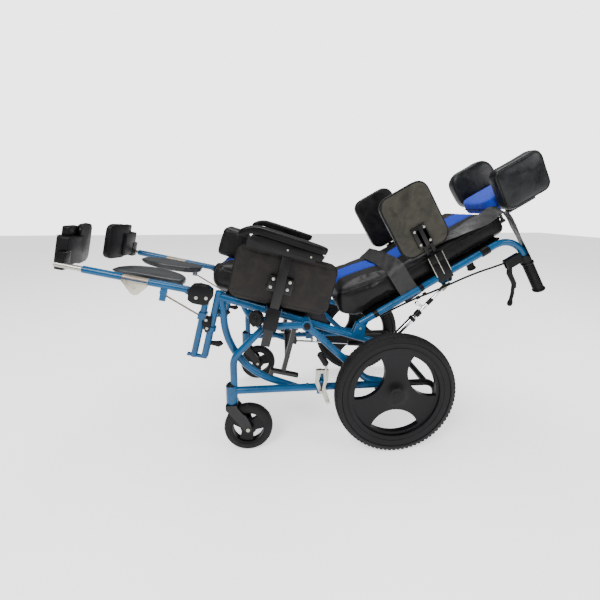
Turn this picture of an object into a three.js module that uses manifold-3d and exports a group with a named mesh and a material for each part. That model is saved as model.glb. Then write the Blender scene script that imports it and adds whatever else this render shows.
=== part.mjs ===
// Tilt in space wheelchair, shown tilted back with its back reclined and its legrests raised.
// Millimetres, +Z up. The chair faces -X and its left side is -Y.
// Sizes are worked in a chair frame: x = 0 at the rear axle, z = 0 on the floor, y = 0 at the middle.
// The finished group is shifted along x so that the origin is the middle of its footprint.
import * as THREE from 'three';
import { mergeVertices } from 'three/addons/utils/BufferGeometryUtils.js';
import Module from 'manifold-3d';

const wasm = await Module();
wasm.setup();

// Driving dimensions
const fit = 0.3; // gap between pieces that touch
const tubeRadius = 11;
const sides = 8; // facets round a tube
const pinSides = 8; // facets round a pin or a bore
const overrun = 30; // how far a cutter passes its work

const seatHalf = 187; // from the middle of the chair to a seat tube
// How far outside that tube each piece lies; inside it when below zero
const beyond = {
  wheel: 70, axleBossIn: 25, axleBossOut: 42, axleTip: 87, base: 29, pivotBossIn: 17.5,
  pivotBossOut: 40.5, lockPlateIn: 42, lockPlateOut: 45.6, lockArmIn: 46, lockArmOut: 51, lockTip: 81,
  seatBossIn: -10, seatBossOut: 16.8, strutLugIn: -10, strutLugOut: -5, strutEye: 5, strutHead: 6.4,
  armrest: 53, armPadIn: 8, armPadOut: 76, panel: 17, cushion: -11.4, board: -15, crossbar: -11.4,
  flange: -18, backCross: -10.5, clampOut: 9, clampIn: -2.6, backCushion: -14, lateral: -40,
  lateralBarIn: -8.6, lateralBarOut: -3, footBlock: -26, footHinge: -19, plateIn: -153, plateOut: -31,
  boxIn: -83, boxOut: -13, capIn: -79, capOut: -29, calfIn: -142, calfOut: -41,
};
const rearWheel = {
  radius: 200, trackHalf: seatHalf + beyond.wheel, tyreSection: 22, tyreSeat: 24.4, rimSeat: 25,
  rimDepth: 58, rimHalfWidth: 17, lipHalfWidth: 19, webHalf: 7, hubRadius: 30, hubHalf: 23,
  capRadius: 22, capOut: 30, windowEdge: 66, windowInner: 56, windowHalfAngle: 36, tyreFlatHalf: 13,
  turns: 20,
};
rearWheel.tyreInner = rearWheel.radius - rearWheel.tyreSeat;
rearWheel.rimOuter = rearWheel.radius - rearWheel.rimSeat;
rearWheel.rimShoulder = rearWheel.radius - rearWheel.rimDepth;
rearWheel.windowOuter = rearWheel.radius - rearWheel.windowEdge;
const axle = {
  radius: 6, bore: 6.8, bossRadius: 15, bossIn: seatHalf + beyond.axleBossIn,
  bossOut: seatHalf + beyond.axleBossOut, tip: seatHalf + beyond.axleTip,
};
const caster = {
  radius: 79, halfWidth: 14, swivelX: -526, axleX: -475, bore: 5.6, pinRadius: 4.6, hubHalf: 16,
  housingRadius: 18, housingBottom: 166, housingTop: 226, legGap: 17, legThick: 5, crownThick: 7,
  legWidth: 13, stemRadius: 8, stemBore: 9, stemRise: 40, rimRadius: 58, hubRadius: 16,
  windowOuter: 52, windowInner: 27, windowHalfAngle: 34, turns: 12,
};
const base = {
  planeY: seatHalf + beyond.base, lowerZ: 206, frontX: -518, elbowZ: 317, crestX: -415, toeX: -86,
  toeZ: 228, tailX: 30, elbowBend: 60, crestBend: 45, pivotBend: 30, toeBend: 60, bossRadius: 17,
  bossIn: seatHalf + beyond.pivotBossIn, bossOut: seatHalf + beyond.pivotBossOut, plateFront: -55,
  plateRear: 24, plateAbove: 20, plateBelow: 10, plateHalf: 4,
};
base.plateTop = Math.max(base.lowerZ, rearWheel.radius) + base.plateAbove;
base.plateBottom = Math.min(base.lowerZ, rearWheel.radius) - base.plateBelow;
const pivot = { x: -283, z: 420, shaftRadius: 6, bore: 6.8, headRadius: 11, headThick: 5 };
const lock = {
  pivotBack: 21, pivotZ: 238, clampHalf: 13, clampDrop: 15, clampRise: 12,
  plateIn: seatHalf + beyond.lockPlateIn, plateOut: seatHalf + beyond.lockPlateOut, plateTop: 262,
  plateHalf: 15, armIn: seatHalf + beyond.lockArmIn, armOut: seatHalf + beyond.lockArmOut, armHalf: 7,
  pinRadius: 4, pinBore: 4.9, tipGap: 17, tipZ: 144, tipRadius: 6, tipOut: seatHalf + beyond.lockTip,
  rodBack: 5, rodZ: 300, rodRadius: 4, gripBack: 22, gripZ: 334, gripRadius: 9,
};
lock.tipX = -rearWheel.radius - lock.tipGap;
lock.pivotX = lock.tipX - lock.pivotBack;
lock.rodX = lock.tipX - lock.rodBack;
lock.gripX = lock.tipX - lock.gripBack;
const antiTip = { radius: 10, crossX: 121, bendX: 158, bend: 40, footZ: 36, footRadius: 14, footRise: 30,
  lugX: 105, lugZ: 238, lugHalf: 5, lugRadius: 9, pinRadius: 3.6, pinHalf: 14 };
const tiltDeg = 14.3; // how far the seat leans back from its upright pose
const seat = {
  planeY: seatHalf, slopeDeg: 4, front: -294, rear: 256, postTop: 38, postBottom: -183, postBore: 5.8,
  postBoreDepth: 18, arcX: -30, arcZ: 20, arcRadius: 241, arcFromDeg: 190, arcToDeg: 263, arcTopX: -281,
  arcTopZ: 14, arcTail: 95, bossRadius: 15, bossIn: seatHalf + beyond.seatBossIn,
  bossOut: seatHalf + beyond.seatBossOut,
};
const recline = { x: 180, z: 20, fromVerticalDeg: 46, bracketHalf: 22, bracketTop: 36, cheekThick: 3.6,
  lugHalf: 7, pinRadius: 5, bore: 6, lugRadius: 15 };
const strut = {
  topZ: 326, topDrop: 22, footX: 278, footZ: -33, lugIn: seatHalf + beyond.strutLugIn,
  lugOut: seatHalf + beyond.strutLugOut, eyeOut: seatHalf + beyond.strutEye, pinRadius: 3.6, bore: 4.4,
  eyeRadius: 9, bodyRadius: 9, bodyLength: 176, rodRadius: 4, rodBore: 4.9, boreFrom: 26,
  lugHalf: 10, gland: 12, neck: 20, headRadius: 6, headOut: seatHalf + beyond.strutHead,
};
const armrest = {
  x: -115, postHalfWidth: 14, planeY: seatHalf + beyond.armrest, postHalfThick: 7, bottom: -84,
  top: 212, sleeveWall: 4, sleeveClear: 0.5, sleeveBottom: -30, sleeveTop: 37, bracketBottom: 17,
  bracketHalf: 25, plateFront: -145, plateRear: -80, plateBottom: 91, plateTop: 133, barFront: -240,
  barStep: -192, barDrop: 12, barRear: -30, barBottom: 206, barHalf: 7, knobRadius: 21, knobThick: 15,
  knobReach: 34, knobNeck: 8,
};
const armPad = {
  front: -288, rear: -16, bottom: 231, thick: 25, inY: seatHalf + beyond.armPadIn,
  outY: seatHalf + beyond.armPadOut, round: 10, noseDrop: 27, noseLength: 62,
};
const panel = {
  front: -266, rear: 68, bottom: 41, top: 208, inY: seatHalf + beyond.panel, thick: 18, corner: 30,
  shoulder: 52, round: 6,
};
const cushion = {
  front: -338, rear: 22, bottom: 11.6, thick: 86, half: seatHalf + beyond.cushion, round: 24, crown: 7,
  pullIn: 5, flatShare: 0.7, tuck: 20, dip: 8, channel: 3, stripeHalf: 70,
};
const pommel = { front: -360, rear: -268, lift: 0.5, seatShare: 0.29, height: 106, half: 50, round: 14,
  crown: 4 };
const pan = {
  front: -276, rear: 78, half: seatHalf + beyond.board, bottom: 6.8, top: 11.3, tubeRadius: 9,
  crossFront: -262, crossRear: 66, crossHalf: seatHalf + beyond.crossbar,
};
const brace = {
  x: -31, half: 7, halfY: 5, footFront: -76, footRear: 20, footRise: 27, footThick: 10, footHalf: 9,
  flangeIn: seatHalf + beyond.flange, flangeTop: 10, flangeBottom: -40, crossZ: -130, lugX: 8,
  lugZ: -150, lugHalf: 6, seatLug: 8,
};
brace.footTop = seat.arcZ - seat.arcRadius + tubeRadius + brace.footRise;
brace.footBottom = brace.footTop - brace.footThick;
const tiltSpring = { eyeRadius: 9, eyeHalf: 7, pinRadius: 3.6, bore: 4.4, bodyRadius: 10,
  bodyLength: 205, rodRadius: 4, rodBore: 4.9, boreFrom: 35, gland: 51, neck: 22, openBore: 5.5 };
const hanger = {
  x: -328, radius: 10, top: -9, plateFront: -350, plateThick: 8, pinRadius: 4.8, pinRise: 13,
  collarTop: -80, collarHigh: 15, collarOuter: 16, collarBore: 12.4, blockBottom: -62, blockTop: -40,
  blockHalf: 13, pivotX: -360, pivotZ: 6, cheekIn: 8.2, cheekOut: 13.5, pinBody: 4.6,
  knuckle: 24,
};
const knuckleShares = [[-0.92, -0.42], [-1, 1], [0.33, 1.62], [1.67, 1.5], [2, 0.33], [1.42, -0.75],
  [0, -0.83]];
const legrest = {
  slopeDeg: -1.5, lift: 15.5, eyeRadius: 13, eyeHalf: 7.6, bore: 5.6, start: 27, midFrom: 147,
  midTo: 226, end: 343, midRadius: 10.4, innerBore: 9, boreFrom: 176, plateFrom: 150, plateTo: 222,
  plateTip: 190, plateDepth: 42, plateThick: 4, skin: 2, lugAt: 100, lugHalf: 9, lugDepth: 42,
  lugPin: 22, lugThick: 8, armFrom: 176, armTo: 206, armIn: 100, armThick: 7,
};
const rod = { radius: 3, inset: 17, length: 142, eyeRadius: 7, eyeHalf: 3, pinRadius: 3, bore: 3.8 };
const foot = {
  from: 258, to: 424, radius: 8.2, shorten: 42, hingeAt: 410, blockHalf: 12,
  blockIn: seatHalf + beyond.footBlock, blockFront: 56, blockLow: 1, hingeRadius: 4, hingeBore: 4.8,
  hingeY: seatHalf + beyond.footHinge,
};
const footplate = {
  inY: seatHalf + beyond.plateIn, outY: seatHalf + beyond.plateOut, low: 2, high: 134, thick: 18,
  corner: 26, round: 5, boxIn: seatHalf + beyond.boxIn, boxOut: seatHalf + beyond.boxOut, boxLow: 12,
  boxHigh: 100, boxThick: 16, capLow: 100, capHigh: 128, capIn: seatHalf + beyond.capIn,
  capOut: seatHalf + beyond.capOut, knuckleLow: 60, knuckleHigh: 92, blockClear: 3.5, blockReach: 9,
};
const calf = {
  from: 62, to: 292, low: 2, high: 30, inY: seatHalf + beyond.calfIn, outY: seatHalf + beyond.calfOut,
  round: 11, hollow: 6, taper: 12,
};
const back = {
  tubeX: -13, foot: 8, crest: 602, bend: 75, handleEnd: 190, lugHigh: 40, reliefHigh: 38,
  sleeveFrom: 478, sleeveTo: 502, sleeveRadius: 13, panelFront: -22, panelRear: -16, panelBottom: 34,
  panelTop: 560, crossLow: 90, crossHigh: 450, crossRadius: 8, crossX: -9,
  crossHalf: seatHalf + beyond.backCross, clampLow: 305, clampHigh: 355, clampFront: -62,
  clampOut: seatHalf + beyond.clampOut, clampIn: seatHalf + beyond.clampIn,
};
const grip = { from: 96, to: 208, radius: 16, bore: 12.3, endWall: 6, collarFrom: 68, flange: 19,
  flangeThick: 6,
  housingLow: 532, housingIn: 52, housingOut: 84, housingHalf: 9, slotHalf: 4.6, pivotZ: 546, pivotX: 70,
  pinRadius: 2.6, play: 1 };
const lever = { half: 4, radius: 4, bend: 20, bore: 3.4, eyeRadius: 8 };
const leverKnots = [[-14, 28], [-15, 70], [-34, 102], [-52, 124]]; // along the back, then away from it
const cable = { radius: 2.5, sides: 6, steps: 18 };
// The brake cable of one side, from the lever housing to its grommet: rearward, along the back, inward.
const cableRoute = [[60, 531, 0], [52, 490, 0], [42, 447, 2], [31, 390, 6], [23, 333, 9.5], [16, 274, 9],
  [9, 217, 5], [4.8, 160, 2], [2.4, 110, 0], [1, 76, 0]];
const backCushion = {
  half: seatHalf + beyond.backCushion, back: -22.3, lowerBottom: -38, lowerTop: 194, lowerFront: -146,
  lowerFrontTop: -110, lowerBackRise: 50, lowerFrontRise: 34, tailShare: 0.36, upperBottom: 198,
  upperTop: 604, upperFront: -92, round: 22, crown: 8, pullIn: 5, channel: 3, stripeHalf: 62,
};
const lateral = {
  low: 243, high: 419, near: -107, far: -332, inY: seatHalf + beyond.lateral, thick: 30, corner: 34,
  round: 9, barLow: 312, barHigh: 348, barIn: seatHalf + beyond.lateralBarIn,
  barOut: seatHalf + beyond.lateralBarOut, barNear: -26.5, barFar: -190, slotLow: 324, slotHigh: 336,
  slotNear: -40, slotFar: -120, plateLow: 300, plateHigh: 352, plateNear: -128,
};
const headPost = { x: 3, radius: 7, low: 440, high: 712, clampLow: 470, clampHigh: 505, clampHalf: 16,
  clampBore: 7.9, armTo: -52, armRadius: 6, discRadius: 22 };
const headPad = {
  low: 624, high: 812, front: -122, rear: -62, half: 84, round: 20, hollow: 11, crown: 4,
};
const wing = { low: 640, high: 828, near: -68, far: -226, inY: 90, thick: 56, round: 24, crown: 8,
  flareDeg: 5,
  hingeX: -59, hingeY: 102, hingeRadius: 4, hingeBore: 4.8, knuckleRadius: 7, knuckleLow: 690,
  knuckleHigh: 750, knuckleTall: 26, leafIn: 40, leafHalf: 3.5 };

// Materials
const paint = new THREE.MeshStandardMaterial({ color: 0x0a86c8, roughness: 0.3, metalness: 0.1 });
const blackPlastic = new THREE.MeshStandardMaterial({ color: 0x17181a, roughness: 0.5, metalness: 0 });
const blackSteel = new THREE.MeshStandardMaterial({ color: 0x101113, roughness: 0.35, metalness: 0.3 });
const rubber = new THREE.MeshStandardMaterial({ color: 0x1b1b1c, roughness: 0.85, metalness: 0 });
const chrome = new THREE.MeshStandardMaterial({ color: 0xc9ccce, roughness: 0.18, metalness: 1 });
const zinc = new THREE.MeshStandardMaterial({ color: 0xb9b8b0, roughness: 0.35, metalness: 0.9 });
const leatherette = new THREE.MeshStandardMaterial({ color: 0x222121, roughness: 0.55, metalness: 0 });
const blueFabric = new THREE.MeshStandardMaterial({ color: 0x1f55c4, roughness: 0.9, metalness: 0 });

// Solids from three.js geometry, joined and cut
const rad = THREE.MathUtils.degToRad;

function toSolid(geometry) {
  const bare = geometry.clone();
  bare.deleteAttribute('normal');
  bare.deleteAttribute('uv');
  const merged = mergeVertices(bare, 1e-4);
  const points = merged.attributes.position.array;
  const faces = Array.from(merged.index.array);
  let volume = 0;
  const corner = [new THREE.Vector3(), new THREE.Vector3(), new THREE.Vector3()];
  for (let i = 0; i < faces.length; i += 3) {
    corner.forEach((c, k) => c.fromArray(points, 3 * faces[i + k]));
    volume += corner[0].dot(corner[1].cross(corner[2]));
  }
  if (volume < 0) {
    for (let i = 0; i < faces.length; i += 3) [faces[i + 1], faces[i + 2]] = [faces[i + 2], faces[i + 1]];
  }
  const distinct = faces.filter((face, i) => {
    const [a, b, c] = faces.slice(i - (i % 3), i - (i % 3) + 3);
    return a !== b && b !== c && c !== a;
  });
  return new wasm.Manifold(new wasm.Mesh({
    numProp: 3, vertProperties: new Float32Array(points), triVerts: new Uint32Array(distinct),
  }));
}

function toGeometry(solid) {
  const result = solid.getMesh();
  const geometry = new THREE.BufferGeometry();
  geometry.setAttribute('position', new THREE.BufferAttribute(new Float32Array(result.vertProperties), 3));
  geometry.setIndex(new THREE.BufferAttribute(new Uint32Array(result.triVerts), 1));
  return geometry;
}

const joined = (solids) => solids.reduce((whole, solid) => whole.add(solid));
const cut = (solid, cutters) => cutters.reduce((rest, cutter) => rest.subtract(cutter), solid);
const point = (x, y, z) => new THREE.Vector3(x, y, z);

// A box between two values on each axis
function block(x0, x1, y0, y1, z0, z1) {
  const box = new THREE.BoxGeometry(Math.abs(x1 - x0), Math.abs(y1 - y0), Math.abs(z1 - z0));
  box.translate((x0 + x1) / 2, (y0 + y1) / 2, (z0 + z1) / 2);
  return toSolid(box);
}

// A round bar between two points
function bar(from, to, radius, facets = sides, endRadius = radius) {
  const shaft = new THREE.CylinderGeometry(endRadius, radius, from.distanceTo(to), facets);
  const turn = new THREE.Quaternion().setFromUnitVectors(point(0, 1, 0), to.clone().sub(from).normalize());
  shaft.applyQuaternion(turn);
  shaft.translate(...from.clone().add(to).divideScalar(2).toArray());
  return toSolid(shaft);
}

// A pin or disc along Y
const pinY = (x, z, y0, y1, radius, facets = pinSides) => bar(point(x, y0, z), point(x, y1, z), radius,
  facets);

// A flat plate whose outline lies in the XZ plane
function plate(outline, y0, y1, curveSteps = 4) {
  const shape = outline instanceof THREE.Shape ? outline
    : new THREE.Shape(outline.map(([x, z]) => new THREE.Vector2(x, z)));
  const depth = Math.abs(y1 - y0);
  const flat = new THREE.ExtrudeGeometry(shape, { depth, bevelEnabled: false, curveSegments: curveSteps });
  flat.rotateX(Math.PI / 2);
  flat.translate(0, Math.max(y0, y1), 0);
  return toSolid(flat);
}

// A rectangle with rounded corners; radii run from the low corner at x0 round by x1
function roundedOutline(x0, x1, z0, z1, radii) {
  const [a, b, c, d] = radii;
  const shape = new THREE.Shape();
  shape.moveTo(x0 + a, z0);
  shape.lineTo(x1 - b, z0);
  shape.quadraticCurveTo(x1, z0, x1, z0 + b);
  shape.lineTo(x1, z1 - c);
  shape.quadraticCurveTo(x1, z1, x1 - c, z1);
  shape.lineTo(x0 + d, z1);
  shape.quadraticCurveTo(x0, z1, x0, z1 - d);
  shape.lineTo(x0, z0 + a);
  shape.quadraticCurveTo(x0, z0, x0 + a, z0);
  return shape;
}

// A route of straight runs and round bends, sampled only where it turns
class BentRoute extends THREE.Curve {
  constructor(corners, bends, bendSteps) {
    super();
    this.stations = [corners[0].clone()];
    for (let i = 1; i < corners.length - 1; i += 1) {
      const into = corners[i].clone().sub(corners[i - 1]).normalize();
      const out = corners[i + 1].clone().sub(corners[i]).normalize();
      const turn = into.angleTo(out);
      const setback = bends[i - 1] * Math.tan(turn / 2);
      const start = corners[i].clone().addScaledVector(into, -setback);
      const side = out.clone().addScaledVector(into, -into.dot(out)).normalize();
      for (let k = 0; k <= bendSteps; k += 1) {
        const angle = (turn * k) / bendSteps;
        this.stations.push(start.clone().addScaledVector(into, bends[i - 1] * Math.sin(angle))
          .addScaledVector(side, bends[i - 1] * (1 - Math.cos(angle))));
      }
    }
    this.stations.push(corners[corners.length - 1].clone());
  }

  get steps() { return this.stations.length - 1; }

  getPoint(t, target = new THREE.Vector3()) {
    const whole = Math.min(Math.floor(t * this.steps + 1e-9), this.steps - 1);
    return target.lerpVectors(this.stations[whole], this.stations[whole + 1], t * this.steps - whole);
  }

  getPointAt(t, target) { return this.getPoint(t, target); }

  getTangent(t, target = new THREE.Vector3()) {
    const near = Math.round(t * this.steps);
    const before = this.stations[Math.max(near - 1, 0)];
    const here = this.stations[near];
    const after = this.stations[Math.min(near + 1, this.steps)];
    const into = here.clone().sub(before).normalize();
    const out = after.clone().sub(here).normalize();
    return target.copy(into.add(out)).normalize();
  }

  getTangentAt(t, target) { return this.getTangent(t, target); }
}

function ringShape(radius, facets) {
  const ring = [];
  for (let k = 0; k < facets; k += 1) {
    const angle = (2 * Math.PI * (k + 0.5)) / facets;
    ring.push(new THREE.Vector2(radius * Math.cos(angle), radius * Math.sin(angle)));
  }
  return new THREE.Shape(ring);
}

function tube(corners, bends, radius, bendSteps = 3, facets = sides) {
  const route = new BentRoute(corners, bends, bendSteps);
  return toSolid(new THREE.ExtrudeGeometry(ringShape(radius, facets), {
    steps: route.steps, extrudePath: route, bevelEnabled: false,
  }));
}

// A turned body about the Y axis through (x, z); profile points are [radius, y]
function turned(profile, facets, x, y, z) {
  const body = new THREE.LatheGeometry(profile.map(([r, h]) => new THREE.Vector2(r, h)), facets);
  body.translate(x, y, z);
  return toSolid(body);
}

// A soft block: rounded edges, then shaped by a function of its own shares of each half size
function softBlock(x0, x1, y0, y1, z0, z1, round, counts, shapeIt, cornerSteps = 2) {
  const low = [x0, Math.min(y0, y1), z0];
  const high = [x1, Math.max(y0, y1), z1];
  const half = low.map((v, i) => (high[i] - v) / 2);
  const middle = low.map((v, i) => (high[i] + v) / 2);
  const lines = half.map((h, i) => {
    const flat = h - round;
    const list = [];
    for (let k = cornerSteps; k > 0; k -= 1) list.push(-flat - round * Math.tan((k * Math.PI) / (4 *
      cornerSteps)));
    for (let k = 0; k <= counts[i]; k += 1) list.push(-flat + (2 * flat * k) / counts[i]);
    for (let k = 1; k <= cornerSteps; k += 1) list.push(flat + round * Math.tan((k * Math.PI) / (4 *
      cornerSteps)));
    return list;
  });
  const steps = lines.map((list) => list.length - 1);
  const grid = new THREE.BoxGeometry(2, 2, 2, ...steps);
  const spots = grid.attributes.position;
  const p = new THREE.Vector3();
  for (let i = 0; i < spots.count; i += 1) {
    const share = [spots.getX(i), spots.getY(i), spots.getZ(i)];
    const raw = share.map((s, a) => lines[a][Math.round(((s + 1) / 2) * steps[a])]);
    const inner = raw.map((v, a) => THREE.MathUtils.clamp(v, round - half[a], half[a] - round));
    p.set(raw[0] - inner[0], raw[1] - inner[1], raw[2] - inner[2]);
    if (p.length() > 0) p.setLength(round);
    p.add(point(...inner));
    const unit = { x: p.x / half[0], y: p.y / half[1], z: p.z / half[2] };
    shapeIt(p, unit);
    spots.setXYZ(i, p.x + middle[0], p.y + middle[1], p.z + middle[2]);
  }
  return toSolid(grid);
}

const dome = (a, b) => (1 - a * a) * (1 - b * b);
const groove = (at, seam, width) => Math.max(0, 1 - Math.abs(Math.abs(at) - seam) / width);

// Scene graph: each moving sub-assembly is a group at its own pivot
const chair = new THREE.Group();

function groupAt(parent, x, y, z, turnY = 0, turnZ = 0) {
  const group = new THREE.Group();
  group.position.set(x, y, z);
  group.rotation.set(0, turnY, turnZ);
  parent.add(group);
  return group;
}

function add(parent, name, solid, material) {
  const mesh = new THREE.Mesh(toGeometry(solid), material);
  mesh.name = name;
  parent.add(mesh);
}

const tilting = groupAt(chair, pivot.x, 0, pivot.z, rad(tiltDeg)); // as the upright chair
const sloped = groupAt(tilting, 0, 0, 0, rad(seat.slopeDeg)); // along the seat rails
const backGroup = groupAt(tilting, recline.x, 0, recline.z, rad(recline.fromVerticalDeg));
const bothSides = [['left', -1], ['right', 1]];

// Height of the rail's middle line above the tilt pivot, in the tilting group
const railZ = (x) => -x * Math.tan(rad(seat.slopeDeg));

// Base: welded side frames, tilt shaft, anti-tip frame, wheel locks
function baseFrame(s) {
  const y = s * base.planeY;
  const runs = [
    tube([point(base.frontX, y, base.lowerZ), point(base.frontX, y, base.elbowZ),
      point(base.crestX, y, pivot.z), point(pivot.x, y, pivot.z), point(base.toeX, y, base.toeZ),
      point(base.plateRear, y, base.lowerZ)],
    [base.elbowBend, base.crestBend, base.pivotBend, base.toeBend], tubeRadius),
    bar(point(caster.swivelX, y, base.lowerZ), point(base.tailX, y, base.lowerZ), tubeRadius),
    bar(point(caster.swivelX, y, caster.housingBottom), point(caster.swivelX, y, caster.housingTop),
      caster.housingRadius, 14),
    pinY(pivot.x, pivot.z, s * base.bossIn, s * base.bossOut, base.bossRadius, 10),
    plate([[base.plateFront, base.plateBottom], [base.plateRear, base.plateBottom],
      [base.plateRear, base.plateTop], [base.plateFront, base.plateTop]],
    y - base.plateHalf, y + base.plateHalf),
    pinY(0, rearWheel.radius, s * axle.bossIn, s * axle.bossOut, axle.bossRadius),
    pinY(0, rearWheel.radius, s * (axle.bossOut - fit), s * axle.tip, axle.radius),
    block(lock.pivotX - lock.clampHalf, lock.pivotX + lock.clampHalf, s * (base.planeY - lock.clampHalf),
      s * lock.plateOut, base.lowerZ - lock.clampDrop, base.lowerZ + lock.clampRise),
    plate([[lock.pivotX - lock.plateHalf, base.lowerZ], [lock.pivotX + lock.plateHalf, base.lowerZ],
      [lock.pivotX + lock.armHalf, lock.plateTop], [lock.pivotX - lock.armHalf, lock.plateTop]],
    s * lock.plateIn, s * lock.plateOut),
    pinY(lock.pivotX, lock.pivotZ, s * lock.plateIn, s * (lock.armOut + lock.armHalf / 2), lock.pinRadius),
  ];
  return cut(joined(runs), [
    pinY(pivot.x, pivot.z, s * (base.bossIn - overrun), s * (base.bossOut + overrun), pivot.bore, 10),
    bar(point(caster.swivelX, y, caster.housingBottom - overrun),
      point(caster.swivelX, y, caster.housingBottom + caster.stemRise + fit), caster.stemBore),
  ]);
}

function tiltShaft() {
  const reach = base.bossOut + fit + pivot.headThick / 2;
  const shaft = [pinY(pivot.x, pivot.z, -reach, reach, pivot.shaftRadius)];
  for (const [, s] of bothSides) {
    shaft.push(pinY(pivot.x, pivot.z, s * (base.bossOut + fit), s * (base.bossOut + fit + pivot.headThick),
      pivot.headRadius));
  }
  return joined(shaft);
}

function antiTipFrame() {
  const parts = [];
  for (const [, s] of bothSides) {
    const y = s * base.planeY;
    parts.push(tube([point(base.tailX + fit, y, base.lowerZ), point(antiTip.bendX, y, base.lowerZ),
      point(antiTip.bendX, y, antiTip.footZ)], [antiTip.bend], antiTip.radius, 3, pinSides));
    parts.push(bar(point(antiTip.bendX, y, antiTip.footZ), point(antiTip.bendX, y,
      antiTip.footZ + antiTip.footRise),
      antiTip.footRadius));
    parts.push(block(antiTip.lugX - antiTip.lugRadius, antiTip.crossX,
      s * antiTip.pinHalf - antiTip.lugHalf,
      s * antiTip.pinHalf + antiTip.lugHalf, base.lowerZ, antiTip.lugZ + antiTip.lugRadius));
  }
  parts.push(bar(point(antiTip.crossX, -base.planeY, base.lowerZ), point(antiTip.crossX, base.planeY,
    base.lowerZ),
    antiTip.radius));
  parts.push(pinY(antiTip.lugX, antiTip.lugZ, -antiTip.pinHalf, antiTip.pinHalf, antiTip.pinRadius));
  return joined(parts);
}

function wheelLock(s) {
  const y0 = s * lock.armIn;
  const y1 = s * lock.armOut;
  const middle = (y0 + y1) / 2;
  const rodFoot = lock.plateTop + lock.armHalf + fit;
  const arm = plate([[lock.pivotX - lock.armHalf, rodFoot],
    [lock.pivotX - lock.armHalf, lock.pivotZ - lock.armHalf], [lock.tipX - lock.armHalf, lock.tipZ],
    [lock.tipX, lock.tipZ - lock.armHalf], [lock.tipX + lock.armHalf, lock.tipZ],
    [lock.pivotX + lock.armHalf, lock.pivotZ + lock.armHalf], [lock.pivotX + 2 * lock.armHalf,
      rodFoot]], y0, y1);
  const pieces = [arm, pinY(lock.tipX, lock.tipZ, y0, s * lock.tipOut, lock.tipRadius),
    bar(point(lock.pivotX + lock.armHalf, middle, rodFoot - lock.rodRadius / 2), point(lock.rodX,
      middle, lock.rodZ),
      lock.rodRadius, 8),
    bar(point(lock.rodX, middle, lock.rodZ), point(lock.gripX, middle, lock.gripZ), lock.gripRadius),
    pinY(lock.pivotX, lock.pivotZ, y0, y1, lock.pinBore + lock.armHalf / 2)];
  return cut(joined(pieces), [pinY(lock.pivotX, lock.pivotZ, y0 - s * overrun, y1 + s * overrun,
    lock.pinBore)]);
}

// Wheels
function rearRim(s) {
  const w = rearWheel;
  const profile = [[0, w.capOut], [w.capRadius, w.capOut], [w.hubRadius, w.hubHalf],
    [w.hubRadius + w.webHalf, w.webHalf],
    [w.rimShoulder, w.webHalf], [w.rimShoulder, w.rimHalfWidth], [w.rimOuter, w.lipHalfWidth],
    [w.rimOuter, -w.lipHalfWidth], [w.rimShoulder, -w.rimHalfWidth], [w.rimShoulder, -w.webHalf],
    [w.hubRadius + w.webHalf, -w.webHalf], [w.hubRadius, -w.hubHalf], [axle.bore, -w.hubHalf],
    [axle.bore, axle.tip - w.trackHalf + fit], [0, axle.tip - w.trackHalf + fit]];
  const y = s * w.trackHalf;
  const body = turned(profile.map(([r, h]) => [r, s * h]), w.turns, 0, y, w.radius);
  const reach = rad(w.windowHalfAngle);
  const cornerX = w.windowOuter * Math.cos(reach);
  const cornerZ = w.windowOuter * Math.sin(reach);
  const centre = (cornerX ** 2 + cornerZ ** 2 - w.windowInner ** 2) / (2 * (cornerX - w.windowInner));
  const inner = centre - w.windowInner;
  const sweep = Math.atan2(cornerZ, centre - cornerX);
  const windows = [30, 150, 270].map((degrees) => {
    const shape = new THREE.Shape();
    shape.absarc(0, 0, w.windowOuter, -reach, reach, false);
    shape.absarc(centre, 0, inner, Math.PI - sweep, Math.PI + sweep, false);
    const cutter = new THREE.ExtrudeGeometry(shape, { depth: 2 * overrun, bevelEnabled: false,
      curveSegments: 5 });
    cutter.translate(0, 0, -overrun);
    cutter.rotateZ(rad(degrees));
    cutter.rotateX(Math.PI / 2);
    cutter.translate(0, y, w.radius);
    return toSolid(cutter);
  });
  return cut(body, windows);
}

function rearTyre(s) {
  const w = rearWheel;
  const profile = [[w.tyreInner, -w.tyreFlatHalf]];
  const sectionR = w.radius - w.tyreSection;
  for (let k = 0; k <= 6; k += 1) {
    const angle = rad(-90 + (180 * k) / 6);
    profile.push([sectionR + w.tyreSection * Math.cos(angle), w.tyreSection * Math.sin(angle)]);
  }
  profile.push([w.tyreInner, w.tyreFlatHalf], [w.tyreInner, -w.tyreFlatHalf]);
  return turned(profile, w.turns, 0, s * w.trackHalf, w.radius);
}

function casterWheel(s) {
  const c = caster;
  const h = c.halfWidth;
  const profile = [[c.bore, -c.hubHalf], [c.hubRadius, -c.hubHalf], [c.hubRadius, -h / 2],
    [c.rimRadius, -h / 2],
    [c.rimRadius, -h], [c.radius - h / 2, -h], [c.radius, -h / 2], [c.radius, h / 2], [c.radius - h / 2, h],
    [c.rimRadius, h], [c.rimRadius, h / 2], [c.hubRadius, h / 2], [c.hubRadius, c.hubHalf], [c.bore,
      c.hubHalf],
    [c.bore, -c.hubHalf]];
  const y = s * base.planeY;
  const body = turned(profile, c.turns, c.axleX, y, c.radius);
  const reach = rad(c.windowHalfAngle);
  const windows = [80, 200, 320].map((degrees) => {
    const shape = new THREE.Shape();
    shape.absarc(0, 0, c.windowOuter, -reach, reach, false);
    shape.absarc(0, 0, c.windowInner, reach / 2, -reach / 2, true);
    const cutter = new THREE.ExtrudeGeometry(shape, { depth: 2 * overrun, bevelEnabled: false,
      curveSegments: 3 });
    cutter.translate(0, 0, -overrun);
    cutter.rotateZ(rad(degrees));
    cutter.rotateX(Math.PI / 2);
    cutter.translate(c.axleX, y, c.radius);
    return toSolid(cutter);
  });
  return cut(body, windows);
}

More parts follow.
